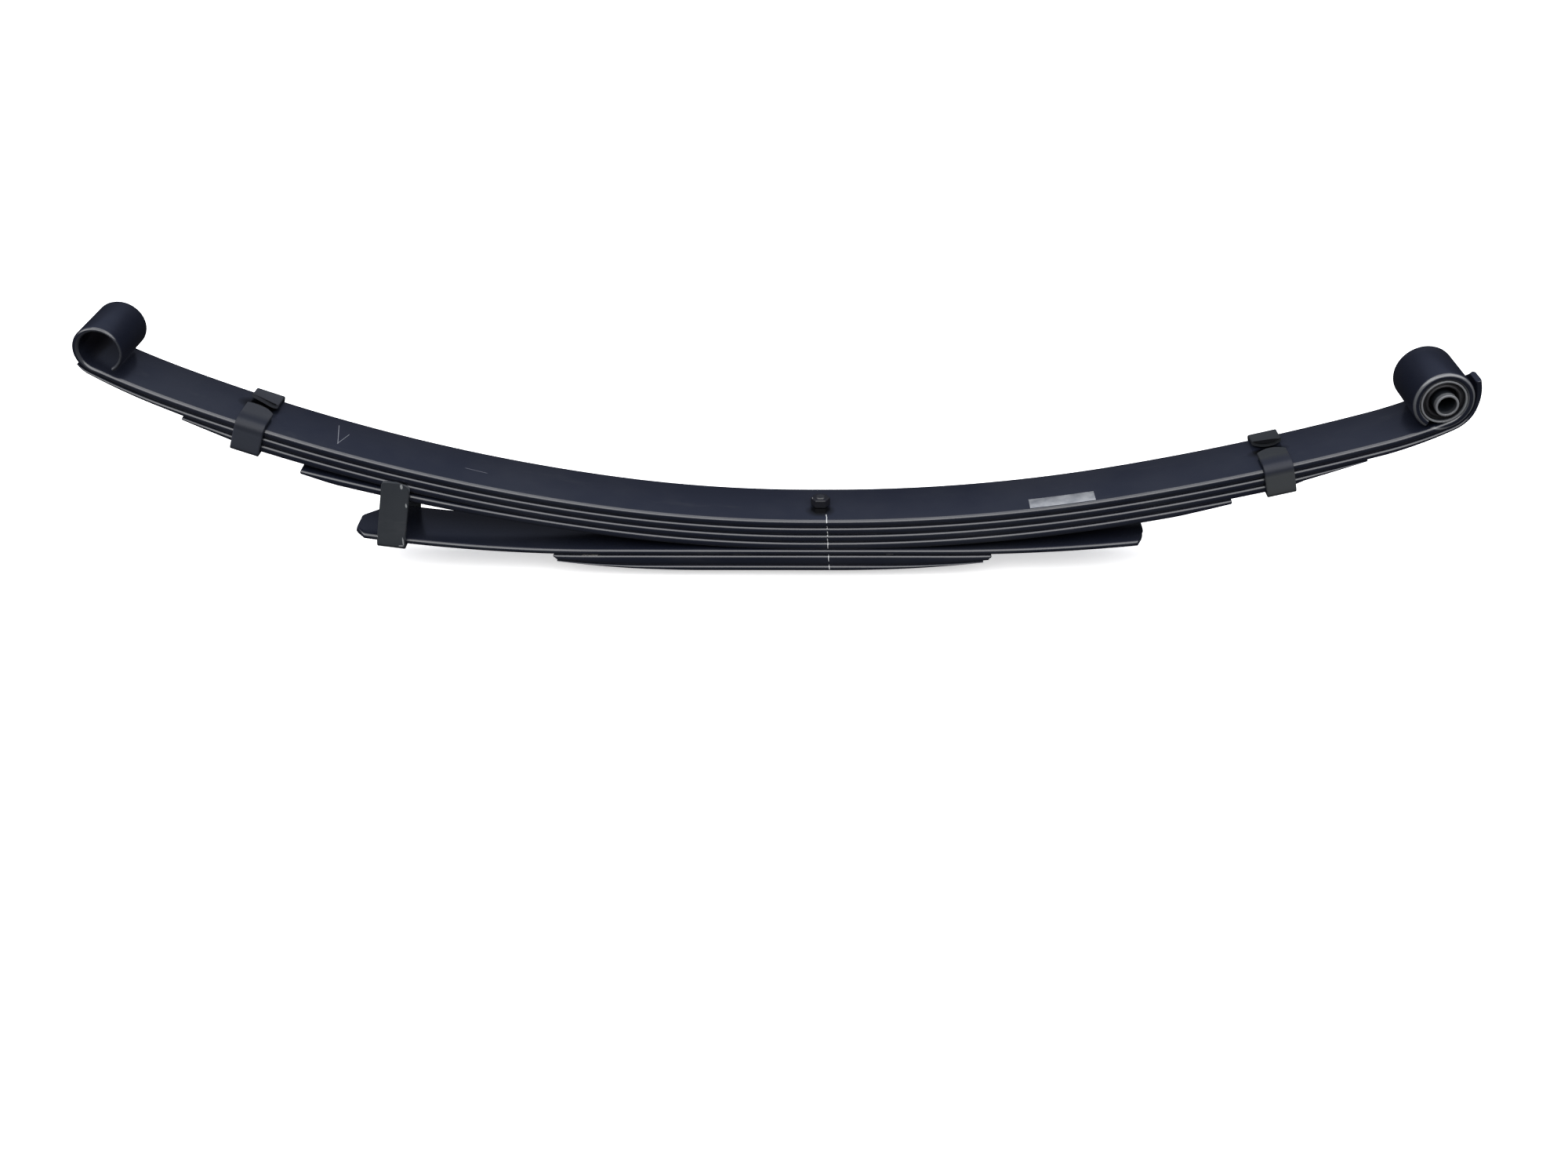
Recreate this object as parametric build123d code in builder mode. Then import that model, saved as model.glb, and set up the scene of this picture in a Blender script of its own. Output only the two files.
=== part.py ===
from build123d import *
import math
import os

os.makedirs("parts", exist_ok=True)
upward = (Align.CENTER, Align.CENTER, Align.MIN)

# Frame: origin on the centre bolt's axis, at the flat seat face under the lowest leaf.
# +X points to the eye with the rubber bush (front), -X to the plain eye (rear), +Z is up.
# All dimensions are in mm.

# Leaves. Depths are measured down from the main leaf's top face, square to it.
leaf_width = 70.0
edge_round = 2.0
main_edge_round = 1.6
stack_height = 58.0
paint_gap = 0.02
main_depth = 8.3
second_depth = 16.6
third_depth = 24.9
fourth_depth = 33.2
helper_thick = 6.6
overload_bottom_z = 6.6
bolt_hole_r = 5.6

# Each arm curve: flat half length, first radius, end of the first radius, second radius.
rear_curve = (10.0, 1323.0, 210.2, 1706.0)
front_curve = (10.0, 1555.0, 304.2, 2410.0)
fourth_rear_curve = (10.0, 1323.0, 210.2, 2212.0)
helper_rear_curve = (220.0, 1516.0, 330.0, 1516.0)
helper_front_curve = (120.0, 1790.0, 220.0, 1790.0)

# Eyes: centre of the roll, bore radius, outside radius. The rear roll thins towards its end,
# so its bore stands off the roll's centre, towards the bolt.
rear_eye = (682.4, stack_height + 181.7, 18.9, 23.9)
rear_bore_shift = 1.6
front_eye = (587.6, stack_height + 127.7, 21.55, 29.0)
front_bore_shift = 0.0
rear_eye_start = 628.0
front_eye_start = 540.0
rear_roll_end = 243.0
front_roll_end = 240.0

# Leaf tips: distance along the main leaf's top face from the bolt.
second_thin_depth = 14.9
third_rear_tip = 609.0
third_front_tip = 522.0
fourth_rear_tip = 502.0
fourth_front_tip = 396.0
helper_rear_tip = 466.0
helper_front_tip = 323.5
overload_rear_tip = 272.0
overload_front_tip = 174.0
base_rear_tip = 268.0
base_front_tip = 166.0

# Curves of the overload leaf's and the base leaf's undersides.
overload_rear_curve = (170.0, 784.0, 260.0, 784.0)
overload_front_curve = (62.0, 1040.0, 160.0, 1040.0)
base_rear_curve = (120.0, 920.0, 220.0, 920.0)
base_front_curve = (15.0, 1075.0, 100.0, 1075.0)

# Second leaf's wrap: it hugs the front eye, then bends less and stands off at its tip.
wrap_gap = 0.3
wrap_thick = 4.0
wrap_tip_thick = 5.4
wrap_leave = -10.0
wrap_open_r = 45.0
wrap_tip = 23.2

# Second leaf's rear tip: it runs under the plain eye and thins to its end on the outside.
under_depth = 13.6
under_thick = 2.9
under_middle_thick = 2.1
under_tip_thick = 1.5
under_middle = -43.0
under_tip = -30.0

# Front bush.
sleeve_r = 21.5
sleeve_bore_r = 19.6
sleeve_length = 69.0
tube_r = 11.0
tube_bore_r = 8.5
tube_length = 76.0
tube_shift_x = 2.0
tube_shift_z = -2.2
pocket_r = 14.05
pocket_depth = 14.0
lip_r = 16.6
rubber_half = 33.0
fit_gap = 0.05

# Rebound clips, bent from strap.
strap_thick = 4.0
strap_width = 28.0
strap_side_gap = 1.0
rear_clip_x = 550.0
front_clip_x = 441.5
helper_clip_x = 428.5
clip_over_top = 1.6
helper_clip_height = 75.0
helper_clip_lean = 3.6
rivet_r = 4.0
rivet_hole_r = 4.4

# Centre bolt and nut.
bolt_r = 5.0
dowel_r = 8.0
dowel_height = 9.0
dowel_recess = 0.6
collar_r = 7.4
nut_flats = 17.0
nut_height = 8.4
bolt_end_z = 67.2

# Identification label on the main leaf's top face.
label_from = 206.5
label_to = 270.0
label_near_y = -31.0
label_far_y = -13.0
label_thick = 0.25


def slope_at(curve, x):
    """Angle of an arm curve at the distance x from the bolt."""
    flat, r_in, x_break, r_out = curve
    if x <= flat:
        return 0.0
    if x <= x_break:
        return math.asin((x - flat) / r_in)
    s_break = (x_break - flat) / r_in
    return math.asin(s_break + (x - x_break) / r_out)


def rise_at(curve, x):
    """Height of an arm curve above its flat part."""
    flat, r_in, x_break, r_out = curve
    a = slope_at(curve, x)
    if x <= x_break:
        return r_in * (1 - math.cos(a))
    b = slope_at(curve, x_break)
    return r_in * (1 - math.cos(b)) + r_out * (math.cos(b) - math.cos(a))


def on_arm(side, curve, x, depth, top_z=stack_height):
    """Point at a depth square below an arm curve; side is +1 front, -1 rear."""
    a = slope_at(curve, x)
    px = x + depth * math.sin(a)
    pz = top_z + rise_at(curve, x) - depth * math.cos(a)
    return (side * px, pz)


def run(side, curve, x0, x1, d0, d1, top_z=stack_height):
    """Draw the offset of an arm curve from x0 to x1, depth going from d0 to d1."""
    stops = [x0]
    marks = [curve[0], curve[2]]
    if x1 < x0:
        marks.reverse()
    for mark in marks:
        if min(x0, x1) + 0.5 < mark < max(x0, x1) - 0.5:
            stops.append(mark)
    stops.append(x1)
    for begin, end in zip(stops[:-1], stops[1:]):
        db = d0 + (d1 - d0) * (begin - x0) / (x1 - x0)
        de = d0 + (d1 - d0) * (end - x0) / (x1 - x0)
        middle = (begin + end) / 2
        p0 = on_arm(side, curve, begin, db, top_z)
        p1 = on_arm(side, curve, middle, (db + de) / 2, top_z)
        p2 = on_arm(side, curve, end, de, top_z)
        if middle < curve[0]:
            Line(p0, p2)
        else:
            ThreePointArc(p0, p1, p2)


def polar(side, centre, radius, degrees):
    """Point on a circle, with the angle taken on the front side and mirrored for the rear."""
    a = math.radians(degrees)
    return (side * (centre[0] + radius * math.cos(a)), centre[1] + radius * math.sin(a))


def ease_in(side, curve, x, depth, centre, radius):
    """Arc that leaves an arm at x and runs tangent into a circle around an eye's centre.

    Returns its start, middle and end, and the angle on the circle where it ends.
    """
    a = slope_at(curve, x)
    start = on_arm(1, curve, x, depth)
    normal = (-math.sin(a), math.cos(a))
    dx = start[0] - centre[0]
    dz = start[1] - centre[1]
    along = dx * normal[0] + dz * normal[1]
    bend = (radius**2 - dx**2 - dz**2) / (2 * (along + radius))
    cx = start[0] + bend * normal[0]
    cz = start[1] + bend * normal[1]
    a0 = math.atan2(start[1] - cz, start[0] - cx)
    a1 = math.atan2(centre[1] - cz, centre[0] - cx)
    am = (a0 + a1) / 2
    middle = (side * (cx + bend * math.cos(am)), cz + bend * math.sin(am))
    end = polar(side, centre, radius, math.degrees(a1))
    return (side * start[0], start[1]), middle, end, math.degrees(a1)


def eye_roll(side, curve, eye, bore_shift, x_start, roll_end):
    """Draw one rolled eye from the leaf's bottom face round to its top face."""
    centre = (eye[0], eye[1])
    bore_at = (eye[0] - bore_shift, eye[1])
    bore_r = eye[2]
    outer_r = eye[3]
    b0, b1, b2, b_angle = ease_in(side, curve, x_start, main_depth - paint_gap, centre, outer_r)
    t0, t1, t2, t_angle = ease_in(side, curve, x_start, 0.0, bore_at, bore_r)
    inner_end = roll_end + 14.0
    cut_outer = polar(side, centre, outer_r, roll_end)
    cut_inner = polar(side, bore_at, bore_r, inner_end)
    ThreePointArc(b0, b1, b2)
    ThreePointArc(b2, polar(side, centre, outer_r, (b_angle + roll_end) / 2), cut_outer)
    Line(cut_outer, cut_inner)
    ThreePointArc(cut_inner, polar(side, bore_at, bore_r, (t_angle + inner_end) / 2), t2)
    ThreePointArc(t2, t1, t0)


def tip_line(side, curve, x0, d0, x1, d1, top_z=stack_height):
    """Straight cut across a leaf's tip, between two depths."""
    Line(on_arm(side, curve, x0, d0, top_z), on_arm(side, curve, x1, d1, top_z))


def side_edges(solid):
    """Edges that lie on the two long side faces of a leaf."""
    near = solid.edges().filter_by_position(Axis.Y, -leaf_width / 2, -leaf_width / 2)
    far = solid.edges().filter_by_position(Axis.Y, leaf_width / 2, leaf_width / 2)
    return near + far


def arm_plane(side, curve, x, top_z=stack_height, depth=0.0):
    """Plane on an arm: its x runs along the leaf toward +X and its z is square to the leaf."""
    a = slope_at(curve, x)
    px, pz = on_arm(side, curve, x, depth, top_z)
    along = (math.cos(a), 0, side * math.sin(a))
    square = (-side * math.sin(a), 0, math.cos(a))
    return Plane(origin=(px, 0, pz), x_dir=along, z_dir=square)


def section_plane(plane):
    """Plane square to the leaf: its x is +Y and its y points away from the leaf's face."""
    return Plane(origin=plane.origin, x_dir=(0, 1, 0), z_dir=plane.x_dir)


def leaf_solid():
    """Extrude the current sketch to the leaf's width and drill the centre bolt's hole."""
    extrude(amount=leaf_width / 2, both=True)
    Cylinder(bolt_hole_r, 400, mode=Mode.SUBTRACT)


# Main leaf: one eye rolled up at each end.
with BuildPart() as main_leaf:
    with BuildSketch(Plane.XZ):
        with BuildLine():
            run(-1, rear_curve, rear_eye_start, 0, main_depth - paint_gap, main_depth - paint_gap)
            run(1, front_curve, 0, front_eye_start, main_depth - paint_gap, main_depth - paint_gap)
            eye_roll(1, front_curve, front_eye, front_bore_shift, front_eye_start, front_roll_end)
            run(1, front_curve, front_eye_start, 0, 0, 0)
            run(-1, rear_curve, 0, rear_eye_start, 0, 0)
            eye_roll(-1, rear_curve, rear_eye, rear_bore_shift, rear_eye_start, rear_roll_end)
        make_face()
    leaf_solid()
    fillet(side_edges(main_leaf), main_edge_round)
main_leaf.part.label = "main_leaf"
export_step(main_leaf.part, "parts/main_leaf.step")

# Second leaf: thins out under and behind the rear eye and wraps up outside the front eye.
with BuildPart() as second_leaf:
    lower = second_depth - paint_gap
    thin = second_thin_depth
    eye_at = (front_eye[0], front_eye[1])
    inner_r = front_eye[3] + wrap_gap
    outer_r = inner_r + wrap_thick
    u0, u1, u2, u_angle = ease_in(1, front_curve, front_eye_start, main_depth, eye_at, inner_r)
    v0, v1, v2, v_angle = ease_in(1, front_curve, front_eye_start, thin, eye_at, outer_r)
    leave = math.radians(wrap_leave)
    open_x = eye_at[0] + (inner_r - wrap_open_r) * math.cos(leave)
    open_z = eye_at[1] + (inner_r - wrap_open_r) * math.sin(leave)
    open_at = (open_x, open_z)
    open_middle = (wrap_leave + wrap_tip) / 2
    middle_thick = (wrap_thick + wrap_tip_thick) / 2
    tip_inner = polar(1, open_at, wrap_open_r, wrap_tip)
    tip_outer = polar(1, open_at, wrap_open_r + wrap_tip_thick, wrap_tip)
    inner_leave = polar(1, eye_at, inner_r, wrap_leave)
    outer_leave = polar(1, eye_at, outer_r, wrap_leave)
    rear_at = (rear_eye[0], rear_eye[1])
    under_r = rear_eye[3] + wrap_gap
    begin = rear_eye_start
    p0, p1, p2, p_angle = ease_in(-1, rear_curve, begin, main_depth, rear_at, under_r)
    q0, q1, q2, _ = ease_in(-1, rear_curve, begin, under_depth, rear_at, under_r + under_thick)
    under_inner = polar(-1, rear_at, under_r, under_tip)
    under_outer = polar(-1, rear_at, under_r + under_tip_thick, under_tip)
    outer_via = polar(-1, rear_at, under_r + under_middle_thick, under_middle)
    with BuildSketch(Plane.XZ):
        with BuildLine():
            Line(under_inner, under_outer)
            ThreePointArc(under_outer, outer_via, q2)
            ThreePointArc(q2, q1, q0)
            run(-1, rear_curve, begin, 560, under_depth, lower)
            run(-1, rear_curve, 560, 0, lower, lower)
            run(1, front_curve, 0, 430, lower, lower)
            run(1, front_curve, 430, 516, lower, thin)
            run(1, front_curve, 516, front_eye_start, thin, thin)
            ThreePointArc(v0, v1, v2)
            ThreePointArc(v2, polar(1, eye_at, outer_r, (v_angle + wrap_leave) / 2), outer_leave)
            outer_middle = polar(1, open_at, wrap_open_r + middle_thick, open_middle)
            ThreePointArc(outer_leave, outer_middle, tip_outer)
            Line(tip_outer, tip_inner)
            ThreePointArc(tip_inner, polar(1, open_at, wrap_open_r, open_middle), inner_leave)
            ThreePointArc(inner_leave, polar(1, eye_at, inner_r, (u_angle + wrap_leave) / 2), u2)
            ThreePointArc(u2, u1, u0)
            run(1, front_curve, front_eye_start, 0, main_depth, main_depth)
            run(-1, rear_curve, 0, begin, main_depth, main_depth)
            ThreePointArc(p0, p1, p2)
            ThreePointArc(p2, polar(-1, rear_at, under_r, (p_angle + under_tip) / 2), under_inner)
        make_face()
    leaf_solid()
    # The thin end under the rear eye keeps its sharp outer edges.
    fillet(side_edges(second_leaf).filter_by_position(Axis.X, -690, 700), 0.7)
    # The wrap's tip is cropped on its far side, seen from the front.
    top = tip_outer[1]
    far = leaf_width / 2 + 1
    with BuildSketch(Plane.YZ.offset(eye_at[0] + 10)) as crop:
        with BuildLine():
            cropped = [(-far, top), (-12, top - 2), (far, top - 29)]
            Polyline(*cropped, (far, top + 9), (-far, top + 9), close=True)
        make_face()
    extrude(crop.sketch, amount=60, mode=Mode.SUBTRACT)
second_leaf.part.label = "second_leaf"
export_step(second_leaf.part, "parts/second_leaf.step")

# Third leaf: carries the two rebound clips near its tips.
with BuildPart() as third_leaf:
    lower = third_depth - paint_gap
    thin = second_thin_depth + paint_gap
    with BuildSketch(Plane.XZ):
        with BuildLine():
            run(-1, rear_curve, third_rear_tip, 545, thin + 3.4, lower)
            run(-1, rear_curve, 545, 0, lower, lower)
            run(1, front_curve, 0, 450, lower, lower)
            run(1, front_curve, 450, 464, lower, 21.6)
            run(1, front_curve, 464, third_front_tip, 21.6, thin + 0.8)
            tip_line(1, front_curve, third_front_tip, thin + 0.8, third_front_tip, thin)
            run(1, front_curve, third_front_tip, 516, thin, thin)
            run(1, front_curve, 516, 430, thin, second_depth)
            run(1, front_curve, 430, 0, second_depth, second_depth)
            run(-1, rear_curve, 0, 560, second_depth, second_depth)
            run(-1, rear_curve, 560, third_rear_tip, second_depth, thin + 0.25)
            tip_line(-1, rear_curve, third_rear_tip, thin + 0.25, third_rear_tip, thin + 3.4)
        make_face()
    leaf_solid()
    fillet(side_edges(third_leaf).filter_by(lambda e: e.length > 120), 0.7)
    for side, curve, x in ((1, front_curve, front_clip_x), (-1, rear_curve, rear_clip_x)):
        with BuildSketch(arm_plane(side, curve, x).offset(-third_depth - 2)) as drill:
            Circle(rivet_hole_r)
        extrude(drill.sketch, amount=12, mode=Mode.SUBTRACT)
third_leaf.part.label = "third_leaf"
export_step(third_leaf.part, "parts/third_leaf.step")

# Fourth leaf: its rear arm has a little less camber and stands off the third leaf.
with BuildPart() as fourth_leaf:
    lower = fourth_depth - paint_gap
    rear_low = third_depth + 5.4
    front_low = third_depth + 5.6
    with BuildSketch(Plane.XZ):
        with BuildLine():
            run(-1, fourth_rear_curve, fourth_rear_tip, 470, rear_low, lower)
            run(-1, fourth_rear_curve, 470, 0, lower, lower)
            run(1, front_curve, 0, 345, lower, lower)
            run(1, front_curve, 345, fourth_front_tip, lower, front_low)
            tip_line(1, front_curve, fourth_front_tip, front_low, fourth_front_tip, third_depth)
            run(1, front_curve, fourth_front_tip, 0, third_depth, third_depth)
            run(-1, fourth_rear_curve, 0, fourth_rear_tip, third_depth, third_depth)
            tip_line(-1, fourth_rear_curve, fourth_rear_tip, third_depth, fourth_rear_tip, rear_low)
        make_face()
    leaf_solid()
    fillet(side_edges(fourth_leaf), edge_round)
fourth_leaf.part.label = "fourth_leaf"
export_step(fourth_leaf.part, "parts/fourth_leaf.step")

# Helper leaf: flat for most of its length, clear of the fourth leaf towards both tips.
helper_top_z = stack_height - fourth_depth
with BuildPart() as helper_leaf:
    lower = helper_thick - paint_gap
    front = helper_front_tip
    rear = helper_rear_tip
    with BuildSketch(Plane.XZ):
        with BuildLine():
            run(-1, helper_rear_curve, rear, 0, lower, lower, helper_top_z)
            run(1, helper_front_curve, 0, front, lower, lower, helper_top_z)
            tip_line(1, helper_front_curve, front, lower, front, 0, helper_top_z)
            run(1, helper_front_curve, front, 0, 0, 0, helper_top_z)
            run(-1, helper_rear_curve, 0, rear, 0, 0, helper_top_z)
            tip_line(-1, helper_rear_curve, rear, 0, rear, lower, helper_top_z)
        make_face()
    leaf_solid()
    fillet(side_edges(helper_leaf).filter_by(lambda e: e.length > 60), edge_round)
    # Cropped corners at both tips, seen from above.
    half = leaf_width / 2
    rear_crop = [(-600, -half), (-456, -half), (-467, -24), (-465, 6), (-441, half), (-600, half)]
    front_crop = [(400, -half), (314.5, -half), (320, -24), (324, -11), (324, 14), (312, half)]
    with BuildSketch(Plane.XY):
        with BuildLine():
            Polyline(*rear_crop, close=True)
        make_face()
        with BuildLine():
            Polyline(*front_crop, (400, half), close=True)
        make_face()
    extrude(amount=120, mode=Mode.SUBTRACT)
    drill_plane = arm_plane(-1, helper_rear_curve, helper_clip_x, helper_top_z)
    with BuildSketch(drill_plane.offset(-helper_thick - 2)) as drill:
        Circle(rivet_hole_r)
    extrude(drill.sketch, amount=12, mode=Mode.SUBTRACT)
helper_leaf.part.label = "helper_leaf"
export_step(helper_leaf.part, "parts/helper_leaf.step")

# Overload leaf: short and thick, bearing on the helper leaf. Its tips are chamfered twice.
overload_top_z = helper_top_z - helper_thick
with BuildPart() as overload_leaf:
    front_low = on_arm(1, overload_front_curve, overload_front_tip - 6, 0, overload_bottom_z)
    front_nose = on_arm(1, helper_front_curve, overload_front_tip, 3.0, overload_top_z)
    front_top = on_arm(1, helper_front_curve, overload_front_tip - 2, 0, overload_top_z)
    rear_low = on_arm(-1, overload_rear_curve, overload_rear_tip - 7, 0, overload_bottom_z)
    rear_nose = on_arm(-1, helper_rear_curve, overload_rear_tip, 3.0, overload_top_z)
    rear_top = on_arm(-1, helper_rear_curve, overload_rear_tip - 2, 0, overload_top_z)
    with BuildSketch(Plane.XZ):
        with BuildLine():
            run(-1, overload_rear_curve, overload_rear_tip - 7, 0, 0, 0, overload_bottom_z)
            run(1, overload_front_curve, 0, overload_front_tip - 6, 0, 0, overload_bottom_z)
            Polyline(front_low, front_nose, front_top)
            run(1, helper_front_curve, overload_front_tip - 2, 0, 0, 0, overload_top_z)
            run(-1, helper_rear_curve, 0, overload_rear_tip - 2, 0, 0, overload_top_z)
            Polyline(rear_top, rear_nose, rear_low)
        make_face()
    leaf_solid()
    fillet(side_edges(overload_leaf).filter_by(lambda e: e.length > 60), edge_round)
overload_leaf.part.label = "overload_leaf"
export_step(overload_leaf.part, "parts/overload_leaf.step")

# Base leaf: its underside is flat at the axle seat and rises to both tips.
with BuildPart() as base_leaf:
    front_low = on_arm(1, base_front_curve, base_front_tip - 3, 0, 0)
    front_top = on_arm(1, overload_front_curve, base_front_tip, paint_gap, overload_bottom_z)
    rear_low = on_arm(-1, base_rear_curve, base_rear_tip - 3, 0, 0)
    rear_top = on_arm(-1, overload_rear_curve, base_rear_tip - 2, paint_gap, overload_bottom_z)
    with BuildSketch(Plane.XZ):
        with BuildLine():
            run(-1, base_rear_curve, base_rear_tip - 3, 0, 0, 0, 0)
            run(1, base_front_curve, 0, base_front_tip - 3, 0, 0, 0)
            Line(front_low, front_top)
            run(1, overload_front_curve, base_front_tip, 0, paint_gap, paint_gap, overload_bottom_z)
            run(-1, overload_rear_curve, 0, base_rear_tip - 2, paint_gap, paint_gap, overload_bottom_z)
            Line(rear_top, rear_low)
        make_face()
    leaf_solid()
    with Locations((0, 0, -5)):
        Cylinder(dowel_r + 0.4, 5 + dowel_recess, align=upward, mode=Mode.SUBTRACT)
base_leaf.part.label = "base_leaf"
export_step(base_leaf.part, "parts/base_leaf.step")

# Centre bolt: round head below the seat locates the axle; its collar bears on the base leaf.
with BuildPart() as centre_bolt:
    with Locations((0, 0, -dowel_height)):
        Cylinder(dowel_r, dowel_height, align=upward)
        Cylinder(collar_r, dowel_height + dowel_recess, align=upward)
        Cylinder(bolt_r, bolt_end_z + dowel_height, align=upward)
    chamfer(centre_bolt.edges().group_by(Axis.Z)[0], 1.0)
    chamfer(centre_bolt.edges().group_by(Axis.Z)[-1], 1.0)
centre_bolt.part.label = "centre_bolt"
export_step(centre_bolt.part, "parts/centre_bolt.step")

# Centre nut: hexagon with chamfered corners, clamping the pack from above.
nut_corner_r = nut_flats / math.sqrt(3)
with BuildPart() as centre_nut:
    with BuildSketch(Plane.XY.offset(stack_height)):
        RegularPolygon(nut_corner_r, 6)
        Circle(bolt_r + fit_gap, mode=Mode.SUBTRACT)
    extrude(amount=nut_height)
    with Locations((0, 0, stack_height)):
        Cone(nut_corner_r + 5.0, nut_flats / 2 - 0.2, nut_height + 1.0, align=upward, mode=Mode.INTERSECT)
centre_nut.part.label = "centre_nut"
export_step(centre_nut.part, "parts/centre_nut.step")

# Front bush: outer sleeve, rubber with a pocket at each end, and the inner tube.
bush_x = front_eye[0]
bush_z = front_eye[1]
tube_x = bush_x + tube_shift_x
tube_z = bush_z + tube_shift_z
bush_plane = Plane(origin=(bush_x, 0, bush_z), x_dir=(1, 0, 0), z_dir=(0, -1, 0))
tube_plane = Plane(origin=(tube_x, 0, tube_z), x_dir=(1, 0, 0), z_dir=(0, -1, 0))
with BuildPart() as bush_sleeve:
    with BuildSketch(bush_plane):
        Circle(sleeve_r)
        Circle(sleeve_bore_r, mode=Mode.SUBTRACT)
    extrude(amount=sleeve_length / 2, both=True)
bush_sleeve.part.label = "front_bush_sleeve"
export_step(bush_sleeve.part, "parts/front_bush_sleeve.step")

with BuildPart() as bush_rubber:
    with BuildSketch(bush_plane):
        Circle(sleeve_bore_r)
    extrude(amount=rubber_half - 2.0, both=True)
    with BuildSketch(bush_plane):
        Circle(lip_r)
    extrude(amount=rubber_half, both=True)
    for end in (-1, 1):
        with BuildSketch(bush_plane.offset(end * rubber_half)):
            Circle(pocket_r)
        extrude(amount=-end * pocket_depth, mode=Mode.SUBTRACT)
    with BuildSketch(tube_plane):
        Circle(tube_r + fit_gap)
    extrude(amount=40, both=True, mode=Mode.SUBTRACT)
bush_rubber.part.label = "front_bush_rubber"
export_step(bush_rubber.part, "parts/front_bush_rubber.step")

with BuildPart() as bush_tube:
    with BuildSketch(tube_plane):
        Circle(tube_r)
        Circle(tube_bore_r, mode=Mode.SUBTRACT)
    extrude(amount=tube_length / 2, both=True)
    chamfer(bush_tube.edges(), 0.6)
bush_tube.part.label = "front_bush_tube"
export_step(bush_tube.part, "parts/front_bush_tube.step")

# Rebound clips: strap bent round the upper three leaves, its two ends folded over the top.
half_inside = leaf_width / 2 + strap_side_gap
half_outside = half_inside + strap_thick


def rebound_clip(plane, depth):
    """Closed strap section swept along the leaf."""
    section = section_plane(plane)
    low = -depth - strap_thick
    high = clip_over_top + strap_thick
    middle = (low + high) / 2
    with BuildSketch(section) as strap:
        with Locations((0, middle)):
            RectangleRounded(2 * half_outside, high - low, strap_thick + 1.5)
            RectangleRounded(2 * half_inside, high - low - 2 * strap_thick, 1.5, mode=Mode.SUBTRACT)
    extrude(strap.sketch, amount=strap_width / 2, both=True)


def rivet_hole(plane, depth):
    """Hole for the clip's rivet, square to the leaf."""
    with BuildSketch(plane.offset(-depth - strap_thick - 8)) as drill:
        Circle(rivet_r)
    extrude(drill.sketch, amount=strap_thick + 9, mode=Mode.SUBTRACT)


def clip_rivet(plane, depth):
    """Rivet with a button head under the strap and a flush end in the leaf above it."""
    with BuildSketch(plane.offset(-depth - strap_thick - 4)) as head:
        Circle(7.5)
    extrude(head.sketch, amount=4)
    with BuildSketch(plane.offset(-depth - strap_thick - 0.5)) as shank:
        Circle(rivet_r - fit_gap)
    extrude(shank.sketch, amount=strap_thick + 0.5 + 5.0)


def head_rim(solid, plane):
    """Lowest edge of a rivet, round the button head."""
    return solid.edges().sort_by(Axis(plane.origin, plane.z_dir))[0]


front_clip_plane = arm_plane(1, front_curve, front_clip_x)
rear_clip_plane = arm_plane(-1, rear_curve, rear_clip_x)
clip_depth = third_depth + 0.35
wide = strap_width / 2 + 1
gap_floor = clip_over_top - 0.5
gap_height = strap_thick + 3

with BuildPart() as front_clip:
    rebound_clip(front_clip_plane, clip_depth)
    # Both tongues end in a wide arc.
    with BuildSketch(front_clip_plane.offset(gap_floor)) as opening:
        with BuildLine():
            ThreePointArc((-wide, -9.5), (-1, -2.5), (wide, -9))
            Line((wide, -9), (wide, 15))
            ThreePointArc((wide, 15), (2, 6), (-wide, 20))
            Line((-wide, 20), (-wide, -9.5))
        make_face()
    extrude(opening.sketch, amount=gap_height, mode=Mode.SUBTRACT)
    rivet_hole(front_clip_plane, clip_depth)
front_clip.part.label = "front_clip"
export_step(front_clip.part, "parts/front_clip.step")

with BuildPart() as front_rivet:
    clip_rivet(front_clip_plane, clip_depth)
    chamfer(head_rim(front_rivet, front_clip_plane), 1.5)
front_rivet.part.label = "front_clip_rivet"
export_step(front_rivet.part, "parts/front_clip_rivet.step")

with BuildPart() as rear_clip:
    rebound_clip(rear_clip_plane, clip_depth)
    # The near tongue ends in a shallow arc, the far one in a slanting cut with a round corner.
    with BuildSketch(rear_clip_plane.offset(gap_floor)) as opening:
        with BuildLine():
            ThreePointArc((-wide, -1), (-4, 0.9), (9, -2.8))
            ThreePointArc((9, -2.8), (12.5, -5.5), (wide, -11))
            Line((wide, -11), (wide, 14))
            ThreePointArc((wide, 14), (12.5, 9), (9, 7.5))
            Line((9, 7.5), (-wide, 17))
            Line((-wide, 17), (-wide, -1))
        make_face()
    extrude(opening.sketch, amount=gap_height, mode=Mode.SUBTRACT)
    rivet_hole(rear_clip_plane, clip_depth)
rear_clip.part.label = "rear_clip"
export_step(rear_clip.part, "parts/rear_clip.step")

with BuildPart() as rear_rivet:
    clip_rivet(rear_clip_plane, clip_depth)
    chamfer(head_rim(rear_rivet, rear_clip_plane), 1.5)
rear_rivet.part.label = "rear_clip_rivet"
export_step(rear_rivet.part, "parts/rear_clip_rivet.step")

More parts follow.
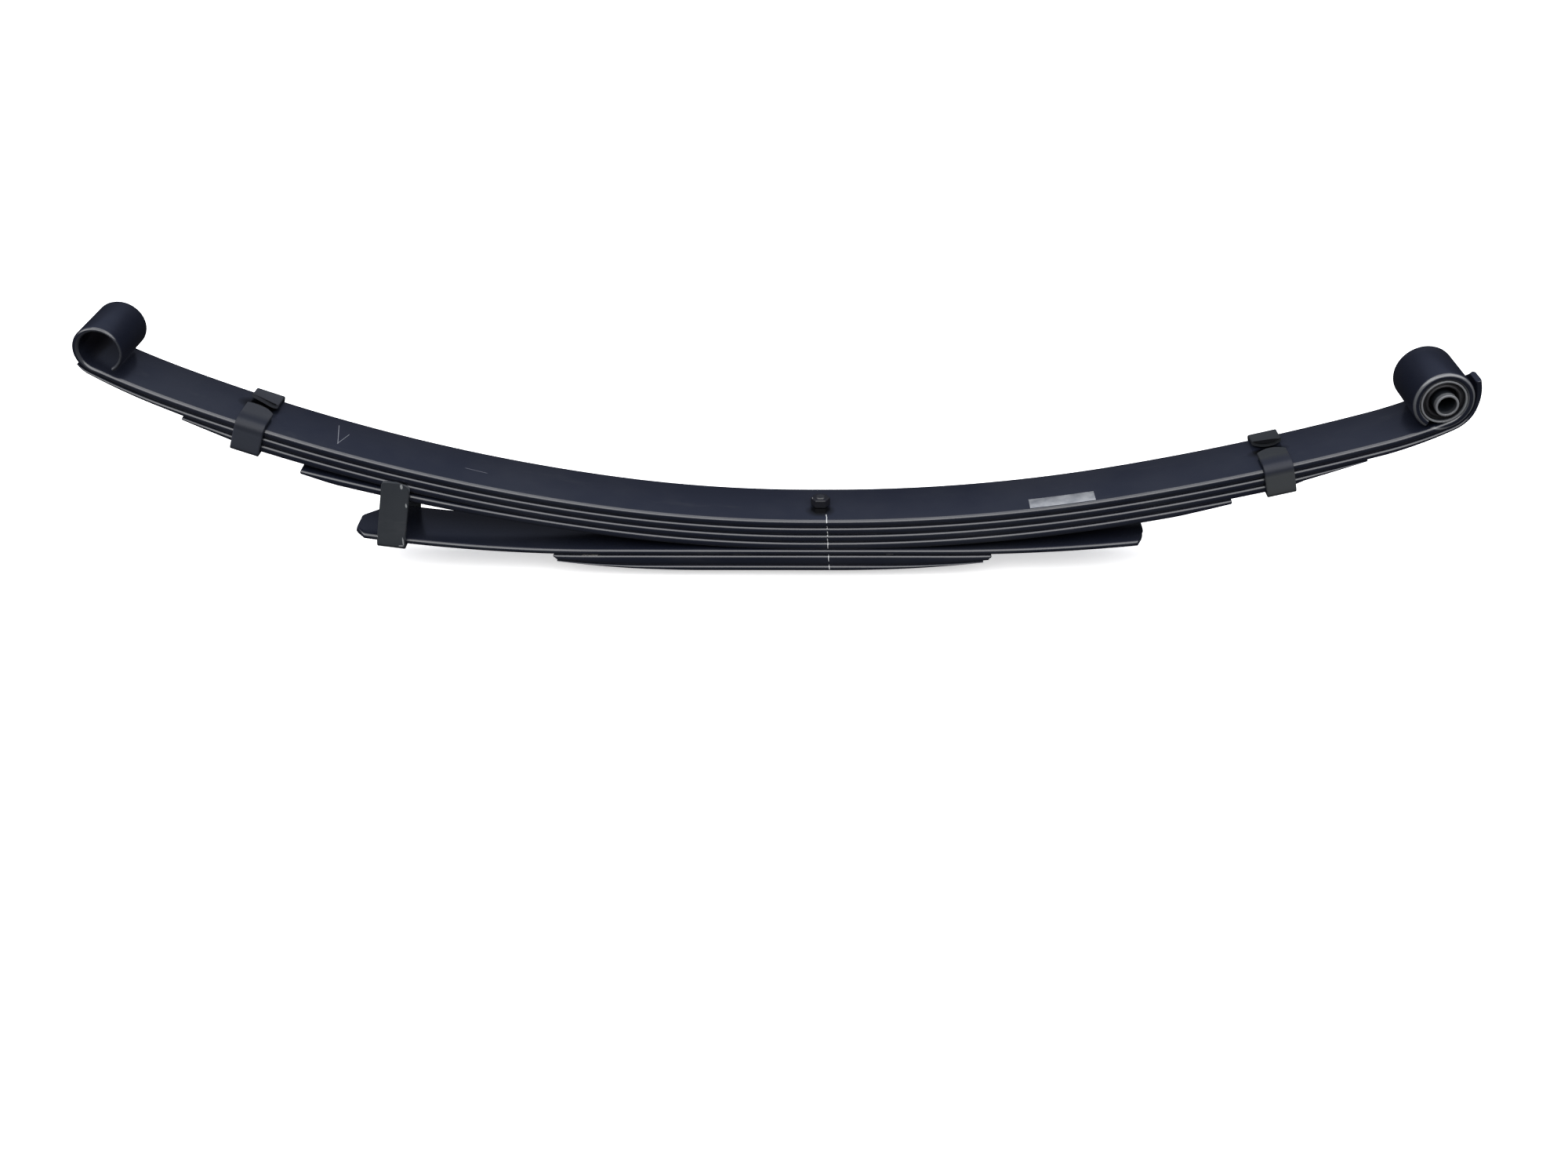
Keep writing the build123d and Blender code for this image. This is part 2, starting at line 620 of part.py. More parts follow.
# Helper clip: open strap whose arms lean forward and stand at the helper leaf's rear tip.
helper_clip_plane = arm_plane(-1, helper_rear_curve, helper_clip_x, helper_top_z)
helper_depth = helper_thick + 0.3
with BuildPart() as helper_clip:
    low = -helper_depth - strap_thick
    high = low + helper_clip_height
    lean = math.tan(math.radians(helper_clip_lean))
    reach = strap_width / 2 + 10
    with BuildSketch(section_plane(helper_clip_plane)) as channel:
        with Locations((0, low + helper_clip_height / 2)):
            RectangleRounded(2 * half_outside, helper_clip_height, strap_thick + 1.5)
        with Locations((0, low + strap_thick + helper_clip_height / 2)):
            RectangleRounded(2 * half_inside, helper_clip_height, 1.5, mode=Mode.SUBTRACT)
        with Locations((0, high)):
            Rectangle(2 * half_outside + 2, 12, mode=Mode.SUBTRACT)
        for y in (-half_inside - strap_thick / 2, half_inside + strap_thick / 2):
            with Locations((y, high - 8)):
                Rectangle(strap_thick, 16)
    extrude(channel.sketch, amount=reach, both=True)
    # Side view of the arms: leaning, with one small and one large rounded upper corner.
    side_view = Plane(origin=helper_clip_plane.origin, x_dir=helper_clip_plane.x_dir, z_dir=(0, -1, 0))
    half = strap_width / 2
    shift = lean * high
    with BuildSketch(side_view) as outline:
        with BuildLine():
            Polyline((-half, low - 1), (half, low - 1), (half, 0), (half + shift, high - 9))
            ThreePointArc((half + shift, high - 9), (half + shift - 3, high - 3), (half + shift - 10, high))
            Line((half + shift - 10, high), (-half + shift + 4, high))
            back = shift - half
            ThreePointArc((back + 4, high), (back + 1, high - 1), (back, high - 4))
            Polyline((back, high - 4), (-half, 0), (-half, low - 1))
        make_face()
    extrude(outline.sketch, amount=half_outside + 1, both=True, mode=Mode.INTERSECT)
    rivet_hole(helper_clip_plane, helper_depth)
helper_clip.part.label = "helper_clip"
export_step(helper_clip.part, "parts/helper_clip.step")

with BuildPart() as helper_rivet:
    clip_rivet(helper_clip_plane, helper_depth)
    chamfer(head_rim(helper_rivet, helper_clip_plane), 1.5)
helper_rivet.part.label = "helper_clip_rivet"
export_step(helper_rivet.part, "parts/helper_clip_rivet.step")

# Identification label: thin blank plate that follows the main leaf's top face.
with BuildPart() as id_label:
    with BuildSketch(Plane.XZ.offset(-label_near_y)):
        with BuildLine():
            run(1, front_curve, label_from, label_to, -paint_gap, -paint_gap)
            tip_line(1, front_curve, label_to, -paint_gap, label_to, -label_thick)
            run(1, front_curve, label_to, label_from, -label_thick, -label_thick)
            tip_line(1, front_curve, label_from, -label_thick, label_from, -paint_gap)
        make_face()
    extrude(amount=label_near_y - label_far_y)
id_label.part.label = "id_label"
export_step(id_label.part, "parts/id_label.step")
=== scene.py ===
import math

import bmesh
import bpy
import numpy as np
from mathutils import Matrix, Vector


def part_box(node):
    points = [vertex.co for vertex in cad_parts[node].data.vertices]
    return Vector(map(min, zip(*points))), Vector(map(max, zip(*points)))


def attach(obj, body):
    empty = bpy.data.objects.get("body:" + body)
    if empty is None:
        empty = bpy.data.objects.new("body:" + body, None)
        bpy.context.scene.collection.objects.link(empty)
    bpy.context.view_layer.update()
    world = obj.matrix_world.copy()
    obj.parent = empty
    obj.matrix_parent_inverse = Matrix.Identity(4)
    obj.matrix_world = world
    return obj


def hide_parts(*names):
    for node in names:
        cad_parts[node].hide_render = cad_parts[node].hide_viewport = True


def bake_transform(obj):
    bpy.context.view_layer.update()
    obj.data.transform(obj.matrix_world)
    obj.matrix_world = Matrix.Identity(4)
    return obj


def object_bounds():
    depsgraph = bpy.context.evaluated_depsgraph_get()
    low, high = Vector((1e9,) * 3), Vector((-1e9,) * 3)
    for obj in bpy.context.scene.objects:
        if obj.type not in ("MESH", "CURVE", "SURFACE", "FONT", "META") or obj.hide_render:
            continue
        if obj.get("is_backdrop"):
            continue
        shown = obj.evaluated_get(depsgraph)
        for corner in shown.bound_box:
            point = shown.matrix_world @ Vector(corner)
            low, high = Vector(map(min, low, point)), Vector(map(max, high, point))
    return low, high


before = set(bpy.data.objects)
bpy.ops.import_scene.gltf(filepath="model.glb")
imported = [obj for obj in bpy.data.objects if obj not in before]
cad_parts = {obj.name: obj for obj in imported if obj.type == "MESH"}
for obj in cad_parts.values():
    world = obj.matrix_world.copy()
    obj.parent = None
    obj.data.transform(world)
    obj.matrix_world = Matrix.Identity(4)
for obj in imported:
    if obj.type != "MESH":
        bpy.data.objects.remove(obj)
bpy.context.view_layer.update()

scene = bpy.context.scene
scene.view_settings.view_transform = "Standard"
MM = 0.001

# ---------------------------------------------------------------- dimensions, mm
# An arm's curve: flat length from the bolt, first radius, x where the radius changes, second radius.
REAR = (10.0, 1323.0, 210.2, 1706.0)
FRONT = (10.0, 1555.0, 304.2, 2410.0)
FOURTH_REAR = (10.0, 1323.0, 210.2, 2212.0)
HELPER_REAR = (220.0, 1516.0, 330.0, 1516.0)
HELPER_FRONT = (120.0, 1790.0, 220.0, 1790.0)
OVER_REAR = (170.0, 784.0, 260.0, 784.0)
OVER_FRONT = (62.0, 1040.0, 160.0, 1040.0)
BASE_REAR = (120.0, 920.0, 220.0, 920.0)
BASE_FRONT = (15.0, 1075.0, 100.0, 1075.0)

# Half the leaf width, the main leaf's top over the seat, and the depth of each lower face below it.
HALF = 35.0
TOP = 58.0
MAIN_DEPTH = 8.3
SECOND_DEPTH = 16.6
THIRD_DEPTH = 24.9
FOURTH_DEPTH = 33.2
GAP = 0.02
HELPER_THICK = 6.6
BASE_THICK = 6.6
HELPER_TOP = TOP - FOURTH_DEPTH
OVER_TOP = HELPER_TOP - HELPER_THICK

# Eyes as (x, z, radius): the outside circle and the bore of each.
REAR_EYE = (682.4, TOP + 181.7, 23.9)
REAR_BORE = (680.8, TOP + 181.7, 18.9)
FRONT_EYE = (587.6, TOP + 127.7, 29.0)
FRONT_BORE = (587.6, TOP + 127.7, 21.55)
REAR_ROLL_FROM = 628.0
FRONT_ROLL_FROM = 540.0
REAR_ROLL_END = 246.0
FRONT_ROLL_END = 243.0
REAR_EYE_THICK = 5.8
FRONT_EYE_THICK = 7.45

# Second leaf where it wraps the front eye and where it runs under the rear one.
WRAP_GAP = 0.3
SECOND_THIN = 14.9
WRAP_START_THICK = 4.2
WRAP_THICK = 4.0
WRAP_TIP_THICK = 5.4
WRAP_LEAVE = -10.0
WRAP_TIP = 23.2
WRAP_OPEN_R = 45.0
WRAP_CROP_Y = -12.0
WRAP_CROP_DROP = 27.0
UNDER_DEPTH = 13.6
UNDER_THICK = 2.9
UNDER_TIP_THICK = 1.5
UNDER_TIP = -30.0

# Tips of the other leaves, as x along each arm before the soft end is added.
THIRD_REAR_TIP = 609.0
THIRD_FRONT_TIP = 522.0
FOURTH_REAR_TIP = 502.0
FOURTH_FRONT_TIP = 396.0
HELPER_REAR_TIP = 466.0
HELPER_FRONT_TIP = 323.5
OVER_REAR_TIP = 268.5
OVER_FRONT_TIP = 171.0
OVER_TIP_CUT = 2.4
BASE_REAR_TIP = 265.0
BASE_FRONT_TIP = 163.0

# Strap of the clips, and where each clip stands along its arm.
STRAP = 28.0
STRAP_THICK = 4.0
SIDE_GAP = 1.0
CLIP_DEPTH = THIRD_DEPTH + 0.35
CLIP_OVER = 1.6
CLIP_BEND = 7.0
LOW_BEND = 3.4
REAR_CLIP_X = 550.0
FRONT_CLIP_X = 441.5
HELPER_CLIP_X = 428.5
HELPER_CLIP_DEPTH = HELPER_THICK + 0.3
HELPER_CLIP_HEIGHT = 75.0
HELPER_CLIP_LEAN = math.tan(math.radians(3.6))

# Front bush: radii and half lengths, and the tube's centre off the eye's.
BUSH_AT = (FRONT_EYE[0], FRONT_EYE[1])
TUBE_AT = (BUSH_AT[0] + 2.0, BUSH_AT[1] - 2.2)
SLEEVE_R = 21.5
SLEEVE_BORE = 19.6
SLEEVE_HALF = 34.5
TUBE_R = 11.0
TUBE_BORE = 8.5
TUBE_HALF = 38.0
WEB_R = 14.3
WEB_HOLE = 11.04
WEB_HALF = 19.0

NUT_FLATS = 17.0
NUT_BORE = 5.05
LABEL_FROM = 206.5
LABEL_TO = 270.0
LABEL_ROWS = ((-31.0, 0.03), (-30.7, 0.24), (-22.0, 0.25), (-13.3, 0.24), (-13.0, 0.03))

# Side of the two upper leaves: corner radius and swell of the side.
BROAD_SIDE = (2.6, 1.2)


# ---------------------------------------------------------------- curves and stations
def slope(curve, x):
    """Angle of an arm at x."""
    straight, first_r, change, second_r = curve
    if x <= straight:
        return 0.0
    if x <= change:
        return math.asin((x - straight) / first_r)
    return math.asin((change - straight) / first_r + (x - change) / second_r)


def rise(curve, x):
    """Height of an arm at x over its height at the bolt."""
    _, first_r, change, second_r = curve
    a = slope(curve, x)
    if x <= change:
        return first_r * (1 - math.cos(a))
    b = slope(curve, change)
    return first_r * (1 - math.cos(b)) + second_r * (math.cos(b) - math.cos(a))


def spread(x0, x1, step):
    """Even values from x0 to x1, about one step apart."""
    n = max(1, round(abs(x1 - x0) / step))
    return [x0 + (x1 - x0) * i / n for i in range(n + 1)]


def lerp(a, b, q):
    return a + (b - a) * q


def knots(*pairs):
    """Function of x that runs straight between (x, value) pairs."""
    xs, values = zip(*pairs)
    return lambda x: float(np.interp(x, xs, values))


def flat(value):
    return lambda x: value


class Station:
    """One cross-section of a leaf: top face point, normal, thickness and the two side limits."""

    def __init__(self, x, z, nx, nz, t, y0=-HALF, y1=HALF):
        self.x, self.z, self.nx, self.nz, self.t, self.y0, self.y1 = x, z, nx, nz, t, y0, y1

    def mirrored(self):
        return Station(-self.x, self.z, -self.nx, self.nz, self.t, self.y0, self.y1)


def mirrored(stations):
    return [s.mirrored() for s in stations][::-1]


def arm(curve, xs, top, bottom, top_z=TOP, sides=None):
    """Stations along an arm; top and bottom give the depth of the leaf's two faces at x."""
    out = []
    for x in xs:
        a = slope(curve, x)
        sin_a, cos_a = math.sin(a), math.cos(a)
        depth = top(x)
        y0, y1 = sides(x) if sides else (-HALF, HALF)
        z = top_z + rise(curve, x) - depth * cos_a
        out.append(Station(x + depth * sin_a, z, -sin_a, cos_a, bottom(x) - depth, y0, y1))
    return out


def ease(curve, x, depth, eye, radius, t0, t1, n=10):
    """Stations on the arc that leaves an arm at x and runs tangent into a circle round an eye."""
    a = slope(curve, x)
    nx, nz = -math.sin(a), math.cos(a)
    sx, sz = x - depth * nx, TOP + rise(curve, x) - depth * nz
    dx, dz = sx - eye[0], sz - eye[1]
    bend = (radius**2 - dx**2 - dz**2) / (2 * (dx * nx + dz * nz + radius))
    cx, cz = sx + bend * nx, sz + bend * nz
    a0, a1 = math.atan2(sz - cz, sx - cx), math.atan2(eye[1] - cz, eye[0] - cx)
    out = []
    for i in range(1, n + 1):
        q = lerp(a0, a1, i / n)
        c, s = math.cos(q), math.sin(q)
        out.append(Station(cx + bend * c, cz + bend * s, -c, -s, lerp(t0, t1, i / n)))
    return out, math.degrees(a1)


def angles(q0, q1, step):
    """Cosine and sine of even angles after q0 up to q1, in degrees, about one step apart."""
    n = round((q1 - q0) / step)
    turns = [math.radians(lerp(q0, q1, i / n)) for i in range(1, n + 1)]
    return [(math.cos(q), math.sin(q)) for q in turns]


def roll(centre, radius, q0, q1, t, step=5.0):
    """Stations of one thickness round a circle."""
    return [
        Station(centre[0] + radius * c, centre[1] + radius * s, -c, -s, t)
        for c, s in angles(q0, q1, step)
    ]


def rolled(bore, outer, q0, q1, step=5.0):
    """Stations round an eye whose outside circle may be off the bore's centre."""
    dx, dz = bore[0] - outer[0], bore[1] - outer[1]
    out = []
    for c, s in angles(q0, q1, step):
        along = dx * c + dz * s
        reach = -along + math.sqrt(along**2 - dx**2 - dz**2 + outer[2] ** 2)
        out.append(Station(bore[0] + bore[2] * c, bore[1] + bore[2] * s, -c, -s, reach - bore[2]))
    return out


def end_round(stations, radius=0.9):
    """Adds thinner stations after the last one so that the tip's cut edges are soft."""
    before, tip = stations[-2], stations[-1]
    ux, uz = tip.x - before.x, tip.z - before.z
    length = math.hypot(ux, uz)
    ux, uz = ux / length, uz / length
    r = min(radius, tip.t * 0.4)
    tip.x, tip.z = tip.x - ux * r, tip.z - uz * r
    extra = []
    for q in (30, 60, 90):
        on = r * math.sin(math.radians(q))
        cut = r * (1 - math.cos(math.radians(q)))
        x, z = tip.x + ux * on - tip.nx * cut, tip.z + uz * on - tip.nz * cut
        extra.append(Station(x, z, tip.nx, tip.nz, tip.t - 2 * cut, tip.y0 + cut, tip.y1 - cut))
    return stations + extra


def section(t, y0, y1, corner, swell):
    """Closed loop of (y, height) round a rolled flat bar with soft edges; height runs from 0 to -t."""
    r = min(corner, t * 0.49)
    half = t / 2
    inset = r + swell
    quarter = [math.pi / 2 * i / 6 for i in range(1, 7)]
    upper = [(r * math.sin(q), half - r + r * math.cos(q)) for q in quarter]
    middle = [(r, (half - r) * f) for f in (0.5, 0.0, -0.5)]
    lower = [(out, -h) for out, h in reversed(upper)]
    right = [
        (y1 - inset + out + swell * (1 - (h / half) ** 2), h - half)
        for out, h in upper + middle + lower
    ]
    left = [(y0 + y1 - y, h) for y, h in reversed(right)]
    across = [y0 + inset + f * (y1 - y0 - 2 * inset) for f in (0, 0.02, 0.08, 0.3, 0.5, 0.7, 0.92, 0.98, 1)]
    return [(y, 0.0) for y in across] + right + [(y, -t) for y in reversed(across)] + left


# ---------------------------------------------------------------- meshes
def mesh_object(name, verts, faces, material, smooth=True):
    mesh = bpy.data.meshes.new(name)
    mesh.from_pydata([tuple(v) for v in verts], [], faces)
    mesh.update()
    if smooth:
        mesh.shade_smooth()
    obj = bpy.data.objects.new(name, mesh)
    scene.collection.objects.link(obj)
    obj.data.materials.append(material)
    return obj


def skin(rows, n, cap=(True, True)):
    """Faces between successive closed rows of n points, with a cap at each end that has one."""
    faces = []
    for i in range(rows - 1):
        for j in range(n):
            a, b = i * n + j, i * n + (j + 1) % n
            faces.append((a, b, b + n, a + n))
    if cap[0]:
        faces.append(tuple(range(n))[::-1])
    if cap[1]:
        faces.append(tuple((rows - 1) * n + j for j in range(n)))
    return faces


def settle(obj, outward=True):
    """Turns the faces outward where asked and keeps the edges of end caps sharp."""
    bm = bmesh.new()
    bm.from_mesh(obj.data)
    if outward:
        bmesh.ops.recalc_face_normals(bm, faces=bm.faces)
    for face in bm.faces:
        if len(face.verts) > 8:
            for edge in face.edges:
                edge.smooth = False
    bm.to_mesh(obj.data)
    bm.free()
    return obj


def leaf(name, stations, corner=2.9, swell=0.8, cap=(True, True)):
    """Skin a list of stations, ordered towards +X."""
    verts = []
    for s in stations:
        loop = section(s.t, s.y0, s.y1, corner, swell)
        verts += [((s.x + h * s.nx) * MM, y * MM, (s.z + h * s.nz) * MM) for y, h in loop]
    faces = skin(len(stations), len(loop), cap)
    return settle(mesh_object(name, verts, faces, leaf_mat), outward=False)


def turned(profile, seg, place):
    """Vertices and faces of a closed (radius, height) profile turned round an axis."""
    n = len(profile)
    verts, faces = [], []
    for i in range(seg):
        q = 2 * math.pi * i / seg
        verts += [place(r * math.cos(q), r * math.sin(q), h) for r, h in profile]
        for j in range(n):
            a, b = i * n + j, i * n + (j + 1) % n
            c, d = ((i + 1) % seg) * n + j, ((i + 1) % seg) * n + (j + 1) % n
            faces.append((a, b, d, c))
    return verts, faces


def riding(obj, node, body):
    """A piece that moves with one body."""
    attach(obj, body)
    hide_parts(node)


def flexing(obj, node):
    """A piece of a leaf that runs from the pack to an arm; its placement goes into its mesh and its CAD
    node is hidden.
    """
    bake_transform(obj)
    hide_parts(node)


# ---------------------------------------------------------------- shader graph
class Graph:
    """A node tree, with a short name for each kind of node that the materials use."""

    def __init__(self, tree):
        self.nodes, self.links = tree.nodes, tree.links

    def math(self, op, a, b=None, clamp=False):
        node = self.nodes.new("ShaderNodeMath")
        node.operation = op
        node.use_clamp = clamp
        for socket, value in zip(node.inputs, (a, b)):
            if isinstance(value, (int, float)):
                socket.default_value = value
            elif value is not None:
                self.links.new(value, socket)
        return node.outputs[0]

    def add(self, a, b):
        return self.math("ADD", a, b)

    def sub(self, a, b):
        return self.math("SUBTRACT", a, b)

    def mul(self, a, b):
        return self.math("MULTIPLY", a, b)

    def share(self, a, b):
        """a over b, held between 0 and 1."""
        return self.math("DIVIDE", a, b, clamp=True)

    def split(self, vector):
        node = self.nodes.new("ShaderNodeSeparateXYZ")
        self.links.new(vector, node.inputs[0])
        return tuple(node.outputs)

    def coords(self, kind="Object"):
        return self.nodes.new("ShaderNodeTexCoord").outputs[kind]

    def noise(self, coord, scale, detail=3.0, rough=0.5, stretch=None):
        node = self.nodes.new("ShaderNodeTexNoise")
        node.inputs["Scale"].default_value = scale
        node.inputs["Detail"].default_value = detail
        node.inputs["Roughness"].default_value = rough
        if stretch:
            mapping = self.nodes.new("ShaderNodeMapping")
            mapping.inputs["Scale"].default_value = stretch
            self.links.new(coord, mapping.inputs["Vector"])
            coord = mapping.outputs["Vector"]
        self.links.new(coord, node.inputs["Vector"])
        return node.outputs["Fac"]

    def ramp(self, fac, stops, steps=False):
        node = self.nodes.new("ShaderNodeValToRGB")
        if steps:
            node.color_ramp.interpolation = "CONSTANT"
        while len(node.color_ramp.elements) < len(stops):
            node.color_ramp.elements.new(0.5)
        for element, (position, value) in zip(node.color_ramp.elements, stops):
            element.position = position
            element.color = (*value, 1.0) if isinstance(value, tuple) else (value, value, value, 1.0)
        self.links.new(fac, node.inputs["Fac"])
        return node.outputs["Color"]

    def mix(self, fac, a, b):
        """Colour between a and b; each value is a number, a colour or a socket."""
        node = self.nodes.new("ShaderNodeMix")
        node.data_type = "RGBA"
        for key, value in ((0, fac), (6, a), (7, b)):
            if isinstance(value, (int, float)):
                node.inputs[key].default_value = value
            elif isinstance(value, tuple):
                node.inputs[key].default_value = (*value, 1.0)
            else:
                self.links.new(value, node.inputs[key])
        return node.outputs[2]

    def bump(self, height, strength, distance, under=None):
        """Normal of a bump, on top of another one where it is given."""
        node = self.nodes.new("ShaderNodeBump")
        node.inputs["Strength"].default_value = strength
        node.inputs["Distance"].default_value = distance
        self.links.new(height, node.inputs["Height"])
        if under is not None:
            self.links.new(under, node.inputs["Normal"])
        return node.outputs["Normal"]

    def band(self, value, centre, half, soft):
        """1 inside centre +- half, falling to 0 over soft."""
        off = self.math("ABSOLUTE", self.sub(value, centre))
        return self.sub(1.0, self.share(self.sub(off, half), soft))

    def spot(self, axes, centre, size, soft=0.35, wobble=None):
        """Mask of a patch of given half sizes round a point."""
        total = 0.0
        for axis, c, s in zip(axes, centre, size):
            q = self.math("DIVIDE", self.sub(axis, c), s)
            total = self.add(total, self.mul(q, q))
        if wobble is not None:
            total = self.add(total, self.mul(self.sub(wobble, 0.5), 2.2))
        return self.sub(1.0, self.share(self.sub(total, 1.0), soft))

    def highest(self, masks):
        total = 0.0
        for mask in masks:
            total = self.math("MAXIMUM", total, mask)
        return total

    def stroke(self, x, y, start, end, width):
        """Mask of a straight scratch on a top face, from start to end in plan."""
        dx, dy = end[0] - start[0], end[1] - start[1]
        length = math.hypot(dx, dy)
        ux, uy = dx / length, dy / length
        px, py = self.sub(x, start[0]), self.sub(y, start[1])
        along = self.add(self.mul(px, ux), self.mul(py, uy))
        off = self.sub(self.mul(px, uy), self.mul(py, ux))
        return self.mul(self.band(along, length / 2, length / 2, 0.002), self.band(off, 0.0, width, width))


def new_material(name):
    mat = bpy.data.materials.new(name)
    mat.use_nodes = True
    g = Graph(mat.node_tree)
    g.nodes.clear()
    out = g.nodes.new("ShaderNodeOutputMaterial")
    shader = g.nodes.new("ShaderNodeBsdfPrincipled")
    g.links.new(shader.outputs["BSDF"], out.inputs["Surface"])
    return mat, g, shader


# ---------------------------------------------------------------- marks on the paint, painted shadows and highlights, m
def top_at(side, curve, x, y):
    """Point on the main leaf's top."""
    return (side * x * MM, y * MM, (TOP + rise(curve, x)) * MM)


def eye_at(side, eye):
    return (side * eye[0] * MM, eye[1] * MM)


NEAR_END = -0.0325
NEAR_SIDES = -0.0215
LEAF_SIDE_Y = -0.0348
STRAP_SIDE_Y = -0.0402
NUT_EDGE_Z = 0.0664

# Painted shadows on the leaf top (the nut's shadow and the shade between each clip's tongues), scuffs,
# chips and the nut's painted edge highlights: centre and half sizes.
# painted shadows: the shadow the nut casts in front of it, and the shade on the leaf top between the
# tongues of the rear and the front clip
PAINTED_SHADOWS = [
    ((0.000, -0.013, 0.058), (0.009, 0.008, 0.004)),
    (top_at(-1, REAR, 553, 9), (0.015, 0.008, 0.008)),
    (top_at(1, FRONT, 440, 2), (0.014, 0.006, 0.006)),
]
SCUFFS = [
    ((-0.230, LEAF_SIDE_Y, 0.0182), (0.014, 0.002, 0.0011)),
    ((-0.080, LEAF_SIDE_Y, 0.0195), (0.011, 0.002, 0.0007)),
    ((0.069, LEAF_SIDE_Y, 0.0198), (0.004, 0.002, 0.0008)),
]
CHIPS = [
    ((-0.4103, STRAP_SIDE_Y, 0.0986), (0.0012, 0.002, 0.0022)),
    ((-0.4083, STRAP_SIDE_Y, 0.0777), (0.0008, 0.002, 0.0020)),
    ((-0.4165, STRAP_SIDE_Y, 0.0370), (0.0006, 0.002, 0.0045)),
    ((-0.4190, STRAP_SIDE_Y, 0.0322), (0.0024, 0.002, 0.0007)),
    ((-0.4418, STRAP_SIDE_Y, 0.0431), (0.0007, 0.002, 0.0009)),
]
# painted highlights: pale lines with ragged ends along the nut's near top edges, where the lit edge shines
NUT_EDGE_HIGHLIGHTS = [
    ((-0.0080, -0.0045, NUT_EDGE_Z), (0.0005, 0.0035, 0.0008)),
    ((-0.0010, -0.0083, NUT_EDGE_Z), (0.0065, 0.0004, 0.0005)),
    ((0.0072, -0.0060, NUT_EDGE_Z), (0.0010, 0.0015, 0.0006)),
]
# Scratches on the top: start and end in plan, half width, strength.
SCRATCHES = [
    ((-0.4802, 0.0171), (-0.4732, -0.0171), 0.0002, 0.5),
    ((-0.4732, -0.0171), (-0.4679, 0.0047), 0.0002, 0.4),
    ((-0.3524, -0.0048), (-0.333, -0.0061), 0.0003, 0.22),
]
SCRATCHED_ABOVE = 0.09
# Painted highlights: pale thin rings on the near ends of the eyes and the bush, where their rounded edges
# catch light: centre, inner and outer radius, strength.
LEAF_HIGHLIGHT_RINGS = [
    (eye_at(1, FRONT_EYE), 0.0220, 0.0226, 0.55),
    (eye_at(1, FRONT_EYE), 0.0268, 0.0280, 0.55),
    (eye_at(-1, REAR_BORE), 0.0190, 0.0212, 0.16),
]
SLEEVE_HIGHLIGHT_RING = (eye_at(1, BUSH_AT), 0.0199, 0.0212, 1.0)
TUBE_HIGHLIGHT_RING = (eye_at(1, TUBE_AT), 0.0092, 0.0106, 1.0)
# Chalk line beside the bolt: where it starts and stops, as shares of the pack's height.
CHALK_DASHES = [
    (0.0, 1.0), (0.107, 0.0), (0.207, 1.0), (0.336, 0.0), (0.431, 1.0), (0.655, 0.0),
    (0.69, 1.0), (0.793, 0.0), (0.836, 1.0), (0.897, 0.0), (0.955, 1.0),
]

# ---------------------------------------------------------------- colours
STEEL = (0.42, 0.43, 0.45)
DULL_STEEL = (0.10, 0.10, 0.10)
CHIPPED_STEEL = (0.26, 0.27, 0.28)
# pale colour of the nut's painted edge highlights
NUT_HIGHLIGHT_COLOUR = (0.20, 0.20, 0.21)
# pale colour of the painted highlight rings
RING_HIGHLIGHT_COLOUR = (0.16, 0.165, 0.175)
SCRATCHED = (0.30, 0.31, 0.34)
CHALK = (0.50, 0.51, 0.52)
# near-black colour of the painted shadows on the leaf top
PAINTED_SHADOW_COLOUR = (0.0005, 0.0006, 0.001)
BLUE_BLACK = (0.0075, 0.0092, 0.0165)
LEAF_DUST = (0.026, 0.028, 0.034)
BUSH_BLACK = (0.012, 0.014, 0.018)
BUSH_DUST = (0.04, 0.042, 0.046)


def ring_highlight(g, axes, ring):
    """Mask of a painted highlight: a thin pale ring on the near end of a rolled eye or a tube, where its
    rounded edge catches light.
    """
    x, y, z = axes
    centre, inner, outer, strength = ring
    dx, dz = g.sub(x, centre[0]), g.sub(z, centre[1])
    away = g.math("SQRT", g.add(g.mul(dx, dx), g.mul(dz, dz)))
    ring_lit = g.band(away, (inner + outer) / 2, (outer - inner) / 2, 0.0008)
    return g.mul(g.mul(ring_lit, g.math("LESS_THAN", y, NEAR_END)), strength)


def chalk_line(g, axes, coord):
    """Mask of a thin broken line down the near sides, drifting a little with height."""
    x, y, z = axes
    drift = g.mul(z, -0.055)
    wander = g.mul(g.sub(g.noise(coord, 60.0, 1.0), 0.5), 0.0025)
    line = g.band(g.sub(g.add(x, wander), drift), 0.0093, 0.00018, 0.0003)
    dashes = g.ramp(g.math("DIVIDE", z, TOP * MM), CHALK_DASHES, steps=True)
    return g.mul(g.mul(line, g.math("LESS_THAN", y, NEAR_SIDES)), dashes)


